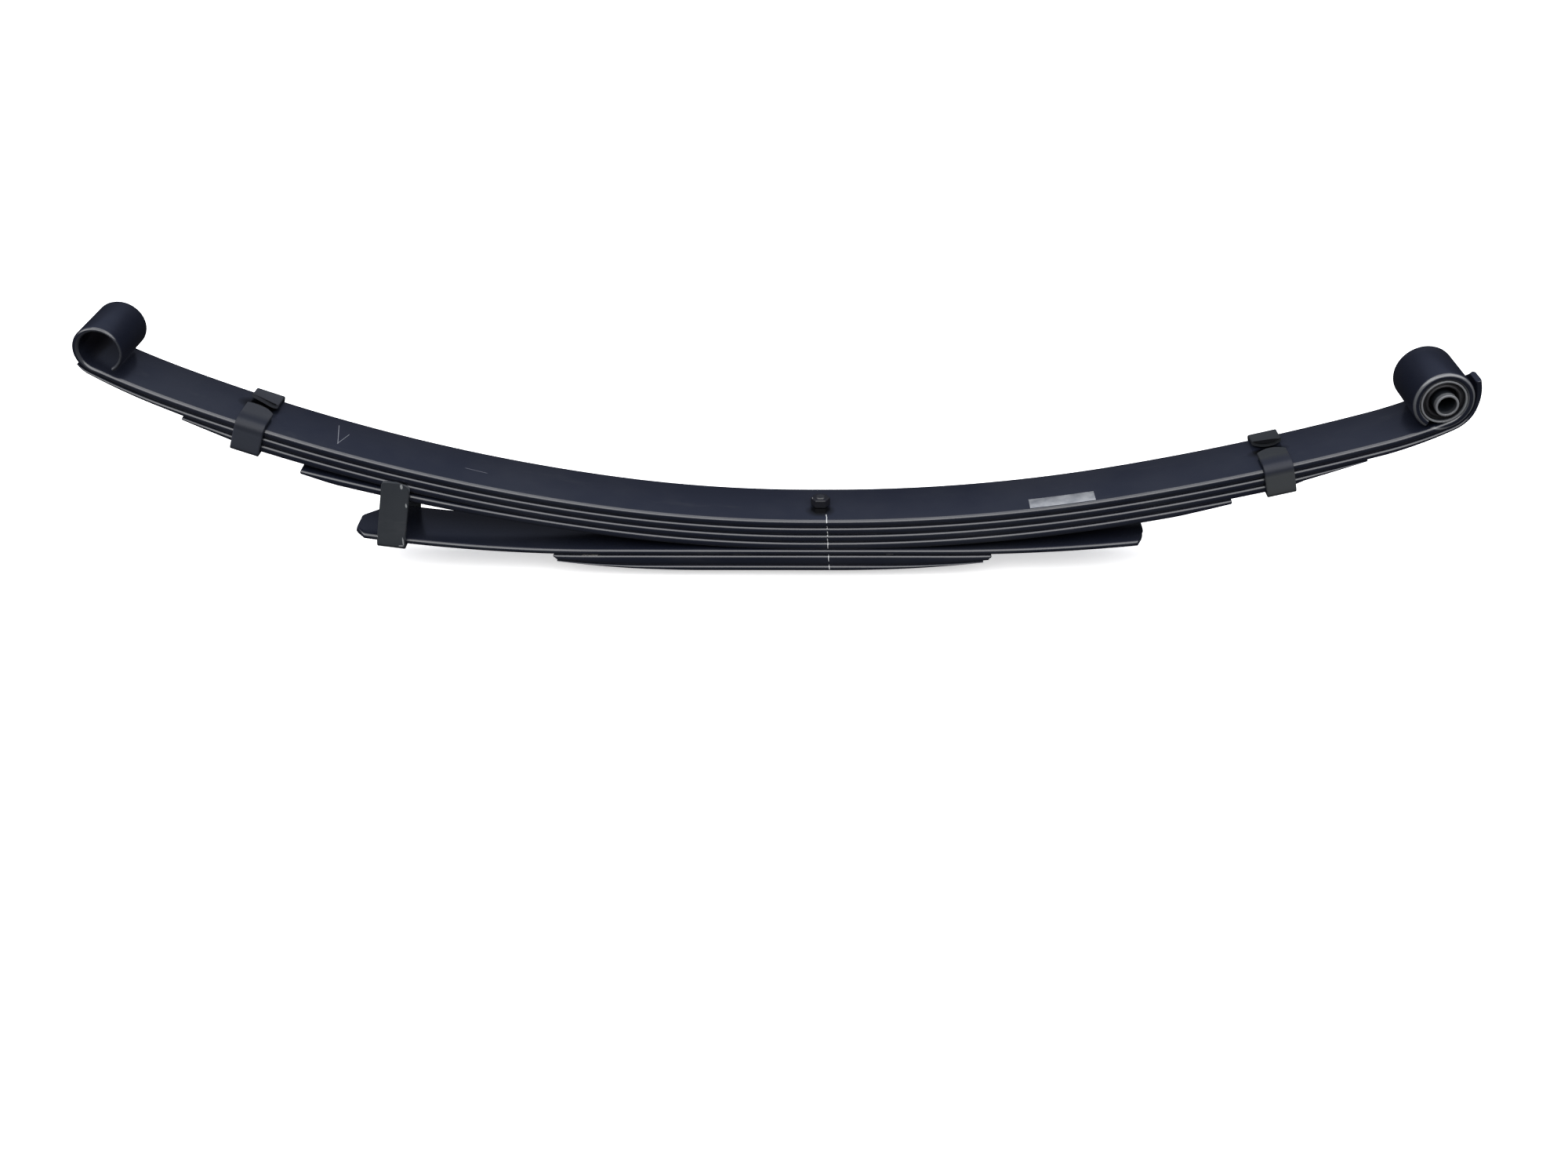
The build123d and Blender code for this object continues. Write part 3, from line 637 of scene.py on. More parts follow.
def paint(
    name, base, light, rough, ior=1.5, chalk=False, chips_and_glints=(), scratches=(), painted_shadows=(), highlight_rings=(),
    tone=None, crown=0.0, bare_and_glint=STEEL,
):
    """Satin black paint on steel: orange peel, dust in patches, rub marks, and at given places real scuffs,
    chips, scratches and chalk along with painted shadows, painted highlights and painted light and shade.
    """
    mat, g, shader = new_material(name)
    coord = g.coords()
    axes = g.split(coord)
    x, y, z = axes
    broad = g.noise(coord, 9.0, 4.0, 0.6)
    streak = g.noise(coord, 30.0, 5.0, 0.65, (0.35, 1.6, 1.6))
    fine = g.noise(coord, 1400.0, 2.0)
    grit = g.noise(coord, 420.0, 3.0, 0.6)
    dust = g.mul(g.ramp(broad, [(0.42, 0.0), (0.68, 1.0)]), 0.25)
    rub = g.mul(g.ramp(streak, [(0.6, 0.0), (0.74, 1.0)]), 0.35)
    colour = g.mix(rub, g.mix(dust, base, light), light)
    height = g.add(fine, g.mul(grit, 1.5))
    # where given, painted light and shade by place on the part, such as a clip's lit plate and shaded bend
    if tone:
        colour = tone(g, axes, colour)
    # painted shadows: patches darkened to near black where shade falls
    if painted_shadows:
        colour = g.mix(g.highest([g.spot(axes, c, r, soft=2.0) for c, r in painted_shadows]), colour, PAINTED_SHADOW_COLOUR)
    # real chips and scuffs in bare steel, and on the nut painted edge highlights
    if chips_and_glints:
        chip_and_glint_mask = g.highest([g.spot(axes, c, r, wobble=grit) for c, r in chips_and_glints])
        colour = g.mix(chip_and_glint_mask, colour, bare_and_glint)
        height = g.sub(height, g.mul(chip_and_glint_mask, 2.0))
    for start, end, width, strength in scratches:
        line = g.mul(g.stroke(x, y, start, end, width), strength)
        colour = g.mix(g.mul(line, g.math("GREATER_THAN", z, SCRATCHED_ABOVE)), colour, SCRATCHED)
    # painted highlights: pale rings on the near ends of eyes and tubes
    for ring in highlight_rings:
        colour = g.mix(ring_highlight(g, axes, ring), colour, RING_HIGHLIGHT_COLOUR)
    if chalk:
        colour = g.mix(chalk_line(g, axes, coord), colour, CHALK)
    under = None
    if crown:
        # rolled bars are a touch convex across their width
        under = g.bump(g.mul(g.mul(y, y), -crown), 1.0, 1.0)
    g.links.new(colour, shader.inputs["Base Color"])
    g.links.new(g.add(g.mul(g.sub(streak, 0.5), 0.16), rough), shader.inputs["Roughness"])
    g.links.new(g.bump(height, 0.05, 0.0004, under), shader.inputs["Normal"])
    shader.inputs["IOR"].default_value = ior
    return mat


def strap_painted_light(side, curve, at, plate, bend, tongue):
    """Painted light and shade on a rebound clip: its lit near plate lighter, its near bend dark with
    painted shade, its tongues in between.
    """
    a = slope(curve, at)
    top_z = (TOP + rise(curve, at)) * MM

    def tone(g, axes, colour):
        x, y, z = axes
        slide = g.mul(g.sub(x, side * at * MM), -side * math.sin(a))
        lift = g.mul(g.sub(z, top_z), math.cos(a))
        low = g.share(g.sub(-0.001, g.add(slide, lift)), 0.005)
        back = g.share(g.add(y, 0.027), 0.009)
        return g.mix(0.8, colour, g.mix(low, g.mix(back, bend, tongue), plate))

    return tone


def rubber_material(name):
    mat, g, shader = new_material(name)
    coord = g.coords()
    blotch = g.noise(coord, 120.0, 4.0, 0.6)
    grain = g.noise(coord, 2200.0, 2.0)
    colour = g.ramp(blotch, [(0.3, (0.007, 0.007, 0.009)), (0.75, (0.022, 0.022, 0.025))])
    g.links.new(colour, shader.inputs["Base Color"])
    g.links.new(g.add(g.mul(blotch, 0.25), 0.45), shader.inputs["Roughness"])
    g.links.new(g.bump(grain, 0.15, 0.0002), shader.inputs["Normal"])
    return mat


def label_material(name):
    """Creased silver foil."""
    mat, g, shader = new_material(name)
    coord = g.coords()
    blotch = g.noise(coord, 90.0, 4.0, 0.6)
    crease = g.noise(coord, 260.0, 3.0, 0.6, (0.3, 1.5, 1.0))
    colour = g.ramp(blotch, [(0.3, (0.16, 0.17, 0.19)), (0.7, (0.30, 0.31, 0.33))])
    g.links.new(colour, shader.inputs["Base Color"])
    g.links.new(g.add(g.mul(crease, 0.3), 0.3), shader.inputs["Roughness"])
    g.links.new(g.bump(crease, 0.2, 0.0003), shader.inputs["Normal"])
    shader.inputs["Metallic"].default_value = 0.35
    return mat


leaf_mat = paint(
    "leaf_paint", BLUE_BLACK, LEAF_DUST, 0.20, ior=1.62, chalk=True, chips_and_glints=SCUFFS,
    scratches=SCRATCHES, painted_shadows=PAINTED_SHADOWS, highlight_rings=LEAF_HIGHLIGHT_RINGS, crown=1.0, bare_and_glint=DULL_STEEL,
)
# painted light and shade on the front clip: lit plate, painted-shade bend, tongue tone
front_painted_light = strap_painted_light(
    1, FRONT, FRONT_CLIP_X,
    plate=(0.050, 0.054, 0.058), bend=(0.008, 0.010, 0.019), tongue=(0.014, 0.016, 0.019),
)
front_clip_mat = paint(
    "clip_paint", (0.030, 0.032, 0.036), (0.07, 0.072, 0.075), 0.50, ior=1.3, tone=front_painted_light,
)
# painted light and shade on the rear clip: lit plate, painted-shade bend, tongue tone
rear_painted_light = strap_painted_light(
    -1, REAR, REAR_CLIP_X,
    plate=(0.030, 0.034, 0.046), bend=(0.008, 0.010, 0.017), tongue=(0.022, 0.024, 0.030),
)
rear_clip_mat = paint(
    "rear_clip_paint", (0.026, 0.028, 0.034), (0.06, 0.062, 0.068), 0.50, ior=1.3, tone=rear_painted_light,
)
helper_clip_mat = paint(
    "helper_clip_paint", (0.030, 0.034, 0.040), (0.060, 0.063, 0.070), 0.42, ior=1.4,
    chips_and_glints=CHIPS, bare_and_glint=CHIPPED_STEEL,
)
nut_mat = paint(
    "nut_steel", (0.006, 0.0065, 0.010), (0.02, 0.021, 0.024), 0.45, ior=1.35,
    chips_and_glints=NUT_EDGE_HIGHLIGHTS, bare_and_glint=NUT_HIGHLIGHT_COLOUR,
)
bolt_mat = paint("bolt_steel", (0.010, 0.011, 0.014), (0.03, 0.031, 0.034), 0.40)
sleeve_mat = paint("sleeve_steel", BUSH_BLACK, BUSH_DUST, 0.30, highlight_rings=[SLEEVE_HIGHLIGHT_RING])
tube_mat = paint("tube_steel", BUSH_BLACK, BUSH_DUST, 0.30, highlight_rings=[TUBE_HIGHLIGHT_RING])
rivet_mat = paint("rivet_paint", (0.012, 0.014, 0.019), (0.04, 0.042, 0.046), 0.36)
rubber_mat = rubber_material("bush_rubber")
label_mat = label_material("label")

# ---------------------------------------------------------------- leaves
TO_FRONT = {"cap": (False, True)}
TO_REAR = {"cap": (True, False)}


def main_leaf():
    """Each half has its own rolled eye."""
    low = flat(MAIN_DEPTH - GAP)
    thick = MAIN_DEPTH - GAP
    front = arm(FRONT, spread(0, FRONT_ROLL_FROM, 9), flat(0), low)
    bend, q = ease(FRONT, FRONT_ROLL_FROM, 0, FRONT_BORE, FRONT_BORE[2], thick, FRONT_EYE_THICK)
    front = end_round(front + bend + rolled(FRONT_BORE, FRONT_EYE, q, FRONT_ROLL_END))
    obj = leaf("main_leaf_front", front, *BROAD_SIDE, **TO_FRONT)
    flexing(obj, "main_leaf")
    rear = arm(REAR, spread(0, REAR_ROLL_FROM, 9), flat(0), low)
    bend, q = ease(REAR, REAR_ROLL_FROM, 0, REAR_BORE, REAR_BORE[2], thick, REAR_EYE_THICK)
    rear = end_round(rear + bend + rolled(REAR_BORE, REAR_EYE, q, REAR_ROLL_END))
    obj = leaf("main_leaf_rear", mirrored(rear), *BROAD_SIDE, **TO_REAR)
    flexing(obj, "main_leaf")


def second_leaf():
    """Its wrap hugs the front eye, then stands off, cropped on its far side; the rear end thins out."""
    low = SECOND_DEPTH - GAP
    bottom = knots((0, low), (430, low), (516, SECOND_THIN), (FRONT_ROLL_FROM, SECOND_THIN))
    front = arm(FRONT, spread(0, FRONT_ROLL_FROM, 9), flat(MAIN_DEPTH), bottom)
    inside = FRONT_EYE[2] + WRAP_GAP
    bend, q = ease(
        FRONT, FRONT_ROLL_FROM, MAIN_DEPTH, FRONT_EYE, inside, SECOND_THIN - MAIN_DEPTH, WRAP_START_THICK
    )
    wrap = roll(FRONT_EYE, inside, q, WRAP_LEAVE, WRAP_THICK)
    leave = math.radians(WRAP_LEAVE)
    back = inside - WRAP_OPEN_R
    open_at = (FRONT_EYE[0] + back * math.cos(leave), FRONT_EYE[1] + back * math.sin(leave))
    flare = roll(open_at, WRAP_OPEN_R, WRAP_LEAVE, WRAP_TIP, WRAP_THICK, step=2.5)
    crop = (HALF - WRAP_CROP_Y) / WRAP_CROP_DROP
    tip_z = flare[-1].z
    for i, s in enumerate(flare):
        s.t = lerp(WRAP_THICK, WRAP_TIP_THICK, (i + 1) / len(flare))
        s.y1 = min(HALF, WRAP_CROP_Y + max(0.0, tip_z - 0.5 - s.z) * crop)
    front = end_round(front + bend + wrap + flare, 0.5)
    obj = leaf("second_leaf_front", front, *BROAD_SIDE, **TO_FRONT)
    flexing(obj, "second_leaf")

    bottom = knots((0, low), (560, low), (REAR_ROLL_FROM, UNDER_DEPTH))
    rear = arm(REAR, spread(0, REAR_ROLL_FROM, 7), flat(MAIN_DEPTH), bottom)
    inside = REAR_EYE[2] + WRAP_GAP
    bend, q = ease(
        REAR, REAR_ROLL_FROM, MAIN_DEPTH, REAR_EYE, inside, UNDER_DEPTH - MAIN_DEPTH, UNDER_THICK
    )
    under = roll(REAR_EYE, inside, q, UNDER_TIP, UNDER_THICK, step=4)
    for i, s in enumerate(under):
        s.t = lerp(UNDER_THICK, UNDER_TIP_THICK, (i + 1) / len(under))
    rear = mirrored(end_round(rear + bend + under, 0.4))
    obj = leaf("second_leaf_rear", rear, *BROAD_SIDE, **TO_REAR)
    flexing(obj, "second_leaf")


def third_leaf():
    """Both ends taper under the second leaf."""
    low = THIRD_DEPTH - GAP
    xs = spread(0, 450, 9) + [457] + spread(464, THIRD_FRONT_TIP, 6)
    thin = SECOND_THIN + GAP
    top = knots((0, SECOND_DEPTH), (430, SECOND_DEPTH), (516, thin), (530, thin))
    bottom = knots((0, low), (450, low), (464, 21.6), (THIRD_FRONT_TIP, 15.72))
    obj = leaf("third_leaf_front", arm(FRONT, xs, top, bottom), **TO_FRONT)
    flexing(obj, "third_leaf")
    top = knots((0, SECOND_DEPTH), (560, SECOND_DEPTH), (THIRD_REAR_TIP, 15.17))
    bottom = knots((0, low), (545, low), (THIRD_REAR_TIP, 18.32))
    rear = end_round(arm(REAR, spread(0, THIRD_REAR_TIP, 7), top, bottom))
    obj = leaf("third_leaf_rear", mirrored(rear), **TO_REAR)
    flexing(obj, "third_leaf")


def fourth_leaf():
    low = FOURTH_DEPTH - GAP
    bottom = knots((0, low), (345, low), (FOURTH_FRONT_TIP, 30.5))
    front = arm(FRONT, spread(0, FOURTH_FRONT_TIP, 8), flat(THIRD_DEPTH), bottom)
    obj = leaf("fourth_leaf_front", end_round(front, 1.5), **TO_FRONT)
    flexing(obj, "fourth_leaf")
    bottom = knots((0, low), (470, low), (FOURTH_REAR_TIP, 30.3))
    rear = arm(FOURTH_REAR, spread(0, FOURTH_REAR_TIP, 7), flat(THIRD_DEPTH), bottom)
    obj = leaf("fourth_leaf_rear", mirrored(end_round(rear, 1.5)), **TO_REAR)
    flexing(obj, "fourth_leaf")


def helper_leaf():
    """Cropped at its corners; its front arm stays still."""
    low = flat(HELPER_THICK - GAP)
    near = knots((314.5, -35), (319.8, -24), (323.5, -11))
    far = knots((312, 35), (323.5, 14))
    xs = spread(0, 310, 10) + [312, 314.5, 317, 319.8, 321.6, HELPER_FRONT_TIP]
    front = arm(HELPER_FRONT, xs, flat(0), low, HELPER_TOP, lambda x: (near(x), far(x)))
    riding(leaf("helper_leaf_front", end_round(front), **TO_FRONT), "helper_leaf", "pack")
    rear_near = knots((456, -35), (466.5, -24))
    rear_far = knots((441, 35), (464.5, 6), (466.5, 4))
    xs = spread(0, 440, 10) + [441, 447, 453, 456, 460, 464.5, HELPER_REAR_TIP]
    rear = arm(HELPER_REAR, xs, flat(0), low, HELPER_TOP, lambda x: (rear_near(x), rear_far(x)))
    obj = leaf("helper_leaf_rear", mirrored(end_round(rear)), **TO_REAR)
    flexing(obj, "helper_leaf")


def two_faced(top_curve, top_z, bottom_curve, bottom_z, xs):
    """Stations of a leaf whose two faces follow their own curves."""
    out = []
    for x in xs:
        a = slope(top_curve, x)
        z = top_z + rise(top_curve, x)
        thick = (z - bottom_z - rise(bottom_curve, x)) * math.cos(a)
        out.append(Station(x, z, -math.sin(a), math.cos(a), thick))
    return out


def whole(name, front, rear, soft):
    """One still leaf from its two halves, which both run outward from the bolt."""
    stations = mirrored(end_round(rear, soft))[:-1] + end_round(front, soft)
    riding(leaf(name, stations), name, "pack")


def lower_leaves():
    xs = spread(0, 168, 8) + [OVER_FRONT_TIP]
    front = two_faced(HELPER_FRONT, OVER_TOP, OVER_FRONT, BASE_THICK, xs)
    xs = spread(0, 265, 8) + [OVER_REAR_TIP]
    rear = two_faced(HELPER_REAR, OVER_TOP, OVER_REAR, BASE_THICK, xs)
    for tip in (front[-1], rear[-1]):
        tip.t -= OVER_TIP_CUT
    whole("overload_leaf", front, rear, 2.5)
    top_z = BASE_THICK - GAP
    front = two_faced(OVER_FRONT, top_z, BASE_FRONT, 0.0, spread(0, BASE_FRONT_TIP, 8))
    rear = two_faced(OVER_REAR, top_z, BASE_REAR, 0.0, spread(0, BASE_REAR_TIP, 8))
    whole("base_leaf", front, rear, 1.0)


main_leaf()
second_leaf()
third_leaf()
fourth_leaf()
helper_leaf()
lower_leaves()


# ---------------------------------------------------------------- clips
def arc_points(cu, cv, r, degrees):
    turns = [math.radians(q) for q in degrees]
    return [(cu + r * math.cos(q), cv + r * math.sin(q)) for q in turns]


def strap_section(r=1.0):
    """Closed loop of (along, out) round the strap, with soft edges."""
    half, k = STRAP / 2, STRAP_THICK / 2
    row = [f * (half - r) for f in (-1, -0.9, -0.6, -0.3, 0, 0.3, 0.6, 0.9, 1)]
    loop = [(u, k) for u in row]
    loop += arc_points(half - r, k - r, r, (60, 30, 0))
    loop += arc_points(half - r, r - k, r, (0, -30, -60))
    loop += [(u, -k) for u in reversed(row)]
    loop += arc_points(r - half, r - k, r, (240, 210, 180))
    loop += arc_points(r - half, k - r, r, (180, 150, 120))
    return loop


def strap(name, side, curve, x, top_z, path, material, lean=0.0):
    """Strap swept along a path in the plane across the leaf.

    Each path point is (y, height, outward y, outward height, outline), where outline(u, y, height)
    moves the point so that the strap's end has its own shape.
    """
    a = slope(curve, x)
    origin = Vector((side * x, 0, top_z + rise(curve, x)))
    along = Vector((math.cos(a), 0, side * math.sin(a)))
    up = Vector((-side * math.sin(a), 0, math.cos(a)))
    across = Vector((0, 1, 0))
    loop = strap_section()
    verts = []
    for y, h, out_y, out_h, outline in path:
        for u, d in loop:
            yy, hh = outline(u, y, h) if outline else (y, h)
            height = hh + out_h * d
            slide = u + lean * max(0.0, height)
            verts.append((origin + along * slide + across * (yy + out_y * d) + up * height) * MM)
    return settle(mesh_object(name, verts, skin(len(path), len(loop)), material))


def corner(cy, ch, r, q0, q1, n=9):
    """Path points round a bend of the strap, from angle q0 to q1 in degrees."""
    turns = [math.radians(q) for q in np.linspace(q0, q1, n)]
    return [(cy + r * math.cos(q), ch + r * math.sin(q), math.cos(q), math.sin(q), None) for q in turns]


def straight(y0, h0, y1, h1, out_y, out_h):
    """Three path points inside a straight stretch."""
    return [(lerp(y0, y1, q), lerp(h0, h1, q), out_y, out_h, None) for q in (0.25, 0.5, 0.75)]


def clip_path(near_tip, far_tip, near_lift, far_lift):
    """Centre line of a closed clip, from the near tongue's tip round under the leaves to the far one's."""
    wall = HALF + SIDE_GAP + STRAP_THICK / 2
    low = -CLIP_DEPTH - STRAP_THICK / 2
    high = CLIP_OVER + STRAP_THICK / 2
    low_y, low_h = wall - LOW_BEND, low + LOW_BEND
    high_y, high_h = wall - CLIP_BEND, high - CLIP_BEND
    steps = 8

    def tongue(sign, tip, lift):
        """From the bend inward to the tip, which lifts a little off the leaf."""
        points = []
        for i in range(steps + 1):

            def outline(u, y, h, q=i / steps):
                return lerp(y, tip(u), q), h + lift * q * q

            points.append((sign * high_y, high, 0.0, 1.0, outline))
        return points

    out = tongue(-1, near_tip, near_lift)[::-1]
    out += corner(-high_y, high_h, CLIP_BEND, 90, 180)[1:]
    out += straight(-wall, high_h, -wall, low_h, -1.0, 0.0)
    out += corner(-low_y, low_h, LOW_BEND, 180, 270)
    out += straight(-low_y, low, low_y, low, 0.0, -1.0)
    out += corner(low_y, low_h, LOW_BEND, 270, 360)
    out += straight(wall, low_h, wall, high_h, 1.0, 0.0)
    out += corner(high_y, high_h, CLIP_BEND, 0, 90)[:-1]
    out += tongue(1, far_tip, far_lift)
    return out


def arc_tip(top_u, top_y, r_left, r_right, sign):
    """Outline of a tongue's end: two arcs that meet at its furthest point; sign -1 near, +1 far."""

    def tip(u):
        r = r_left if u < top_u else r_right
        off = min(abs(u - top_u), r)
        return top_y + sign * (r - math.sqrt(r * r - off * off))

    return tip


def slant_tip(u):
    """Outline of the rear clip's far tongue: a slanting cut with one round corner."""
    y = 17.0 - 0.396 * (u + 15.0)
    if u > 8.0:
        y += 7.0 * (1 - math.sqrt(max(0.0, 1 - ((u - 8.0) / 6.3) ** 2)))
    return y


def open_path():
    """Centre line of an open clip with two straight arms whose ends are round at their corners."""
    wall = HALF + SIDE_GAP + STRAP_THICK / 2
    low = -HELPER_CLIP_DEPTH - STRAP_THICK / 2
    top = low - STRAP_THICK / 2 + HELPER_CLIP_HEIGHT
    low_y, low_h = wall - LOW_BEND, low + LOW_BEND
    steps = 12

    def round_off(u, r, edge):
        over = min(1.0, max(0.0, (edge * u - (STRAP / 2 - r)) / r))
        return r * (1 - math.sqrt(1 - over * over))

    def arm_end(sign):
        """From the low bend up to the arm's end."""
        points = []
        for i in range(steps + 1):

            def outline(u, y, h, q=i / steps):
                cut = max(round_off(u, 10.0, 1) * 0.8, round_off(u, 4.0, -1))
                return y, lerp(h, top - cut, q)

            points.append((sign * wall, low_h, float(sign), 0.0, outline))
        return points

    out = arm_end(-1)[::-1]
    out += corner(-low_y, low_h, LOW_BEND, 180, 270, 8)[1:]
    out += straight(-low_y, low, low_y, low, 0.0, -1.0)
    out += corner(low_y, low_h, LOW_BEND, 270, 360, 8)[:-1]
    out += arm_end(1)
    return out


path = clip_path(arc_tip(-1.0, -2.5, 17.5, 18.5, -1), arc_tip(2.0, 6.0, 17.3, 14.2, 1), 0.3, 1.4)
obj = strap("front_clip_strap", 1, FRONT, FRONT_CLIP_X, TOP, path, front_clip_mat)
riding(obj, "front_clip", "front_arm")
path = clip_path(arc_tip(-4.0, 0.9, 33.0, 21.0, -1), slant_tip, 0.3, 1.6)
obj = strap("rear_clip_strap", -1, REAR, REAR_CLIP_X, TOP, path, rear_clip_mat)
riding(obj, "rear_clip", "rear_arm")
obj = strap(
    "helper_clip_strap", -1, HELPER_REAR, HELPER_CLIP_X, HELPER_TOP, open_path(), helper_clip_mat,
    lean=HELPER_CLIP_LEAN,
)
riding(obj, "helper_clip", "helper_arm")


# ---------------------------------------------------------------- front bush
def lathe(name, profile, centre, material, seg):
    """Turn a closed (radius, y) profile about an axis along Y."""
    verts, faces = turned(
        profile, seg, lambda u, v, y: ((centre[0] + u) * MM, y * MM, (centre[1] + v) * MM)
    )
    return settle(mesh_object(name, verts, faces, material))


def ring_profile(r_in, r_out, half, soft):
    """Rectangular ring section with rounded corners."""
    quarter = [22.5 * k for k in range(5)]
    corners = ((r_out, 1, 0), (r_in, 1, 90), (r_in, -1, 180), (r_out, -1, 270))
    points = []
    for r, end, q0 in corners:
        inward = -soft if r == r_out else soft
        points += arc_points(r + inward, end * (half - soft), soft, [q0 + q for q in quarter])
    return points


def rubber_profile():
    """Recessed face, raised lip and pocket wall, the same at both ends."""
    near = [
        (19.55, 27.0), (19.55, 30.2), (18.9, 30.8), (17.6, 30.8), (16.9, 31.2), (16.6, 32.2),
        (16.1, 32.8), (15.4, 33.0), (14.6, 32.7), (14.1, 31.9), (14.0, 30.5), (14.0, 20.0),
    ]
    return near + [(r, -y) for r, y in reversed(near)]


def rubber_web(seg=72):
    """The solid middle: a disc with the tube's hole off its centre."""
    turns = [360 * i / seg for i in range(seg)]
    outer = arc_points(*BUSH_AT, WEB_R, turns)
    hole = arc_points(*TUBE_AT, WEB_HOLE, turns)
    verts = [(x * MM, y * MM, z * MM) for y in (WEB_HALF, -WEB_HALF) for x, z in outer + hole]
    faces = []
    for i in range(seg):
        j = (i + 1) % seg
        faces.append((i, j, seg + j, seg + i))
        faces.append((2 * seg + i, 3 * seg + i, 3 * seg + j, 2 * seg + j))
        faces.append((i, 2 * seg + i, 2 * seg + j, j))
        faces.append((seg + i, seg + j, 3 * seg + j, 3 * seg + i))
    return mesh_object("front_bush_web", verts, faces, rubber_mat, smooth=False)


ring = ring_profile(SLEEVE_BORE, SLEEVE_R, SLEEVE_HALF, 0.6)
obj = lathe("front_bush_sleeve", ring, BUSH_AT, sleeve_mat, 96)
riding(obj, "front_bush_sleeve", "front_arm")
ring = ring_profile(TUBE_BORE, TUBE_R, TUBE_HALF, 0.8)
obj = lathe("front_bush_tube", ring, TUBE_AT, tube_mat, 72)
riding(obj, "front_bush_tube", "bush_tube")
obj = lathe("front_bush_rubber", rubber_profile(), BUSH_AT, rubber_mat, 96)
riding(obj, "front_bush_rubber", "front_arm")
riding(rubber_web(), "front_bush_rubber", "front_arm")


# ---------------------------------------------------------------- nut
def hex_nut():
    """Six-sided nut with chamfered corners and softened edges."""
    low, high = (corner_point[2] / MM for corner_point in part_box("centre_nut"))
    r = NUT_FLATS / math.sqrt(3)
    profile = [
        (r - 0.5, low), (r, low + 0.6), (r, high - 1.0), (r - 1.3, high), (NUT_BORE, high), (NUT_BORE, low),
    ]
    verts, faces = turned(profile, 6, lambda x, y, z: (x * MM, y * MM, z * MM))
    nut = settle(mesh_object("centre_nut_shape", verts, faces, nut_mat, smooth=False))
    bevel = nut.modifiers.new("soft_edges", "BEVEL")
    bevel.width = 0.0005
    bevel.segments = 3
    bevel.limit_method = "ANGLE"
    bevel.angle_limit = math.radians(20)
    return nut


riding(hex_nut(), "centre_nut", "pack")


# ---------------------------------------------------------------- label
def label_plate():
    """Thin plate that follows the main leaf's top."""
    xs = spread(LABEL_FROM, LABEL_TO, 4)
    n = len(LABEL_ROWS)
    verts, faces = [], []
    for x in xs:
        a = slope(FRONT, x)
        z = TOP + rise(FRONT, x)
        for y, h in LABEL_ROWS:
            verts.append(((x - h * math.sin(a)) * MM, y * MM, (z + h * math.cos(a)) * MM))
    for i in range(len(xs) - 1):
        for j in range(n - 1):
            b = i * n + j
            faces.append((b, b + n, b + n + 1, b + 1))
    return mesh_object("id_label_plate", verts, faces, label_mat)


label = label_plate()
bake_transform(label)
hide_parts("id_label")

# ---------------------------------------------------------------- CAD nodes that stay
KEPT = {
    "centre_bolt": bolt_mat,
    "front_clip_rivet": rivet_mat,
    "rear_clip_rivet": rivet_mat,
    "helper_clip_rivet": rivet_mat,
}
for node, material in KEPT.items():
    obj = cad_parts[node]
    if not obj.data.materials:
        obj.data.materials.append(material)
    for material_slot in obj.material_slots:
        material_slot.link = "OBJECT"
        material_slot.material = material


# ---------------------------------------------------------------- floor, light, camera, m
def floor_plane(size=9.0):
    mat, g, shader = new_material("floor")
    tone = g.ramp(g.noise(g.coords(), 2.0, 2.0), [(0.3, (0.88, 0.88, 0.89)), (0.7, (0.90, 0.90, 0.905))])
    g.links.new(tone, shader.inputs["Base Color"])
    shader.inputs["Roughness"].default_value = 0.8
    shader.inputs["Emission Color"].default_value = (1.0, 1.0, 1.0, 1.0)
    shader.inputs["Emission Strength"].default_value = 0.55
    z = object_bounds()[0].z - 0.0005
    verts = [(-size, -size, z), (size, -size, z), (size, size, z), (-size, size, z)]
    floor = mesh_object("floor", verts, [(0, 1, 2, 3)], mat, smooth=False)
    floor.visible_glossy = False
    floor.visible_diffuse = False
    return floor


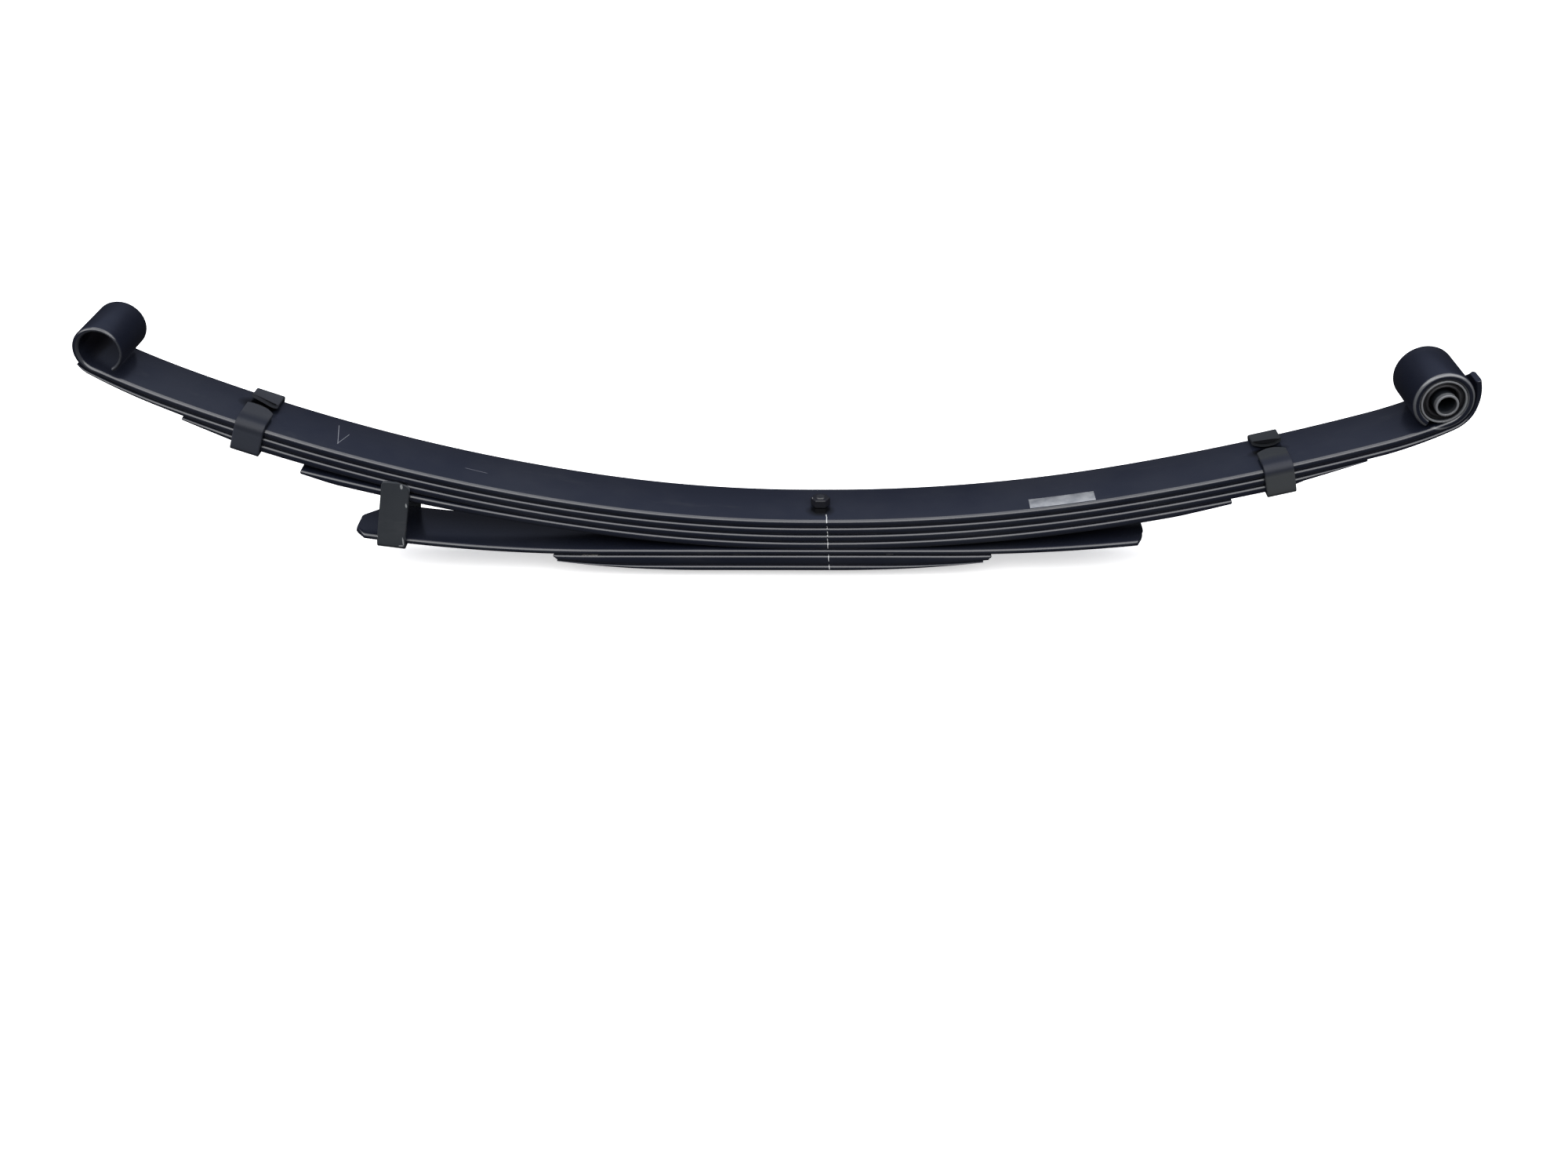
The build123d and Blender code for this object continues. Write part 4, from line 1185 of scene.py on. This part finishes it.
def studio():
    """Dark below the horizon, a soft bright strip high in front and a calm blue-grey sky behind."""
    world = bpy.data.worlds.new("studio")
    scene.world = world
    world.use_nodes = True
    g = Graph(world.node_tree)
    x, y, z = g.split(g.coords("Generated"))
    height = g.add(g.mul(z, 0.5), 0.5)
    front_sky = g.ramp(height, [(0.50, 0.01), (0.68, 0.035), (0.76, 1.0), (0.93, 1.0), (1.0, 0.2)])
    back_sky = g.ramp(height, [
        (0.55, (0.004, 0.004, 0.005)),
        (0.70, (0.012, 0.012, 0.014)),
        (0.76, (0.034, 0.038, 0.052)),
        (0.82, (0.046, 0.052, 0.072)),
        (1.0, 0.08),
    ])
    behind = g.math("ADD", g.mul(y, 1.6), 0.5, clamp=True)
    sky = g.mix(behind, front_sky, back_sky)
    # what is seen beyond the floor is plain and pale
    seen = g.nodes.new("ShaderNodeLightPath").outputs["Is Camera Ray"]
    background = g.nodes["Background"]
    g.links.new(g.mix(seen, sky, (0.23, 0.23, 0.23)), background.inputs["Color"])
    background.inputs["Strength"].default_value = 4.0


def area(name, location, target, width, height, power, colour=(1, 1, 1)):
    data = bpy.data.lights.new(name, "AREA")
    data.shape = "RECTANGLE"
    data.size, data.size_y = width, height
    data.energy = power
    data.color = colour
    light = bpy.data.objects.new(name, data)
    scene.collection.objects.link(light)
    light.location = location
    light.rotation_mode = "QUATERNION"
    light.rotation_quaternion = (Vector(target) - Vector(location)).to_track_quat("-Z", "Y")


def aim_camera(pitch, yaw, tilt, position):
    """Camera from its downward pitch, its turn to the right and its tilt, all in radians."""
    data = bpy.data.cameras.new("camera")
    camera = bpy.data.objects.new("camera", data)
    scene.collection.objects.link(camera)
    data.lens = 38.7
    data.sensor_width = 36.0
    data.sensor_fit = "HORIZONTAL"
    data.clip_start, data.clip_end = 0.05, 60.0
    ahead = Vector((math.sin(yaw) * math.cos(pitch), math.cos(yaw) * math.cos(pitch), -math.sin(pitch)))
    level = Vector((math.cos(yaw), -math.sin(yaw), 0.0))
    upright = level.cross(ahead)
    right = math.cos(tilt) * level + math.sin(tilt) * upright
    up = -math.sin(tilt) * level + math.cos(tilt) * upright
    pose = Matrix((right, up, -ahead)).transposed().to_4x4()
    pose.translation = Vector(position)
    camera.matrix_world = pose
    scene.camera = camera


floor_plane()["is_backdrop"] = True
studio()
area("overhead", (0.0, 0.2, 2.3), (0.0, 0.0, 0.0), 3.2, 1.2, 26.0, (0.97, 0.98, 1.0))
area("left_fill", (-2.4, -0.6, 1.5), (0.0, 0.0, 0.1), 1.2, 1.2, 5.0)
aim_camera(0.540864, -0.0276172, -0.0128196, (0.00359, -1.49556, 0.80558 + TOP * MM))
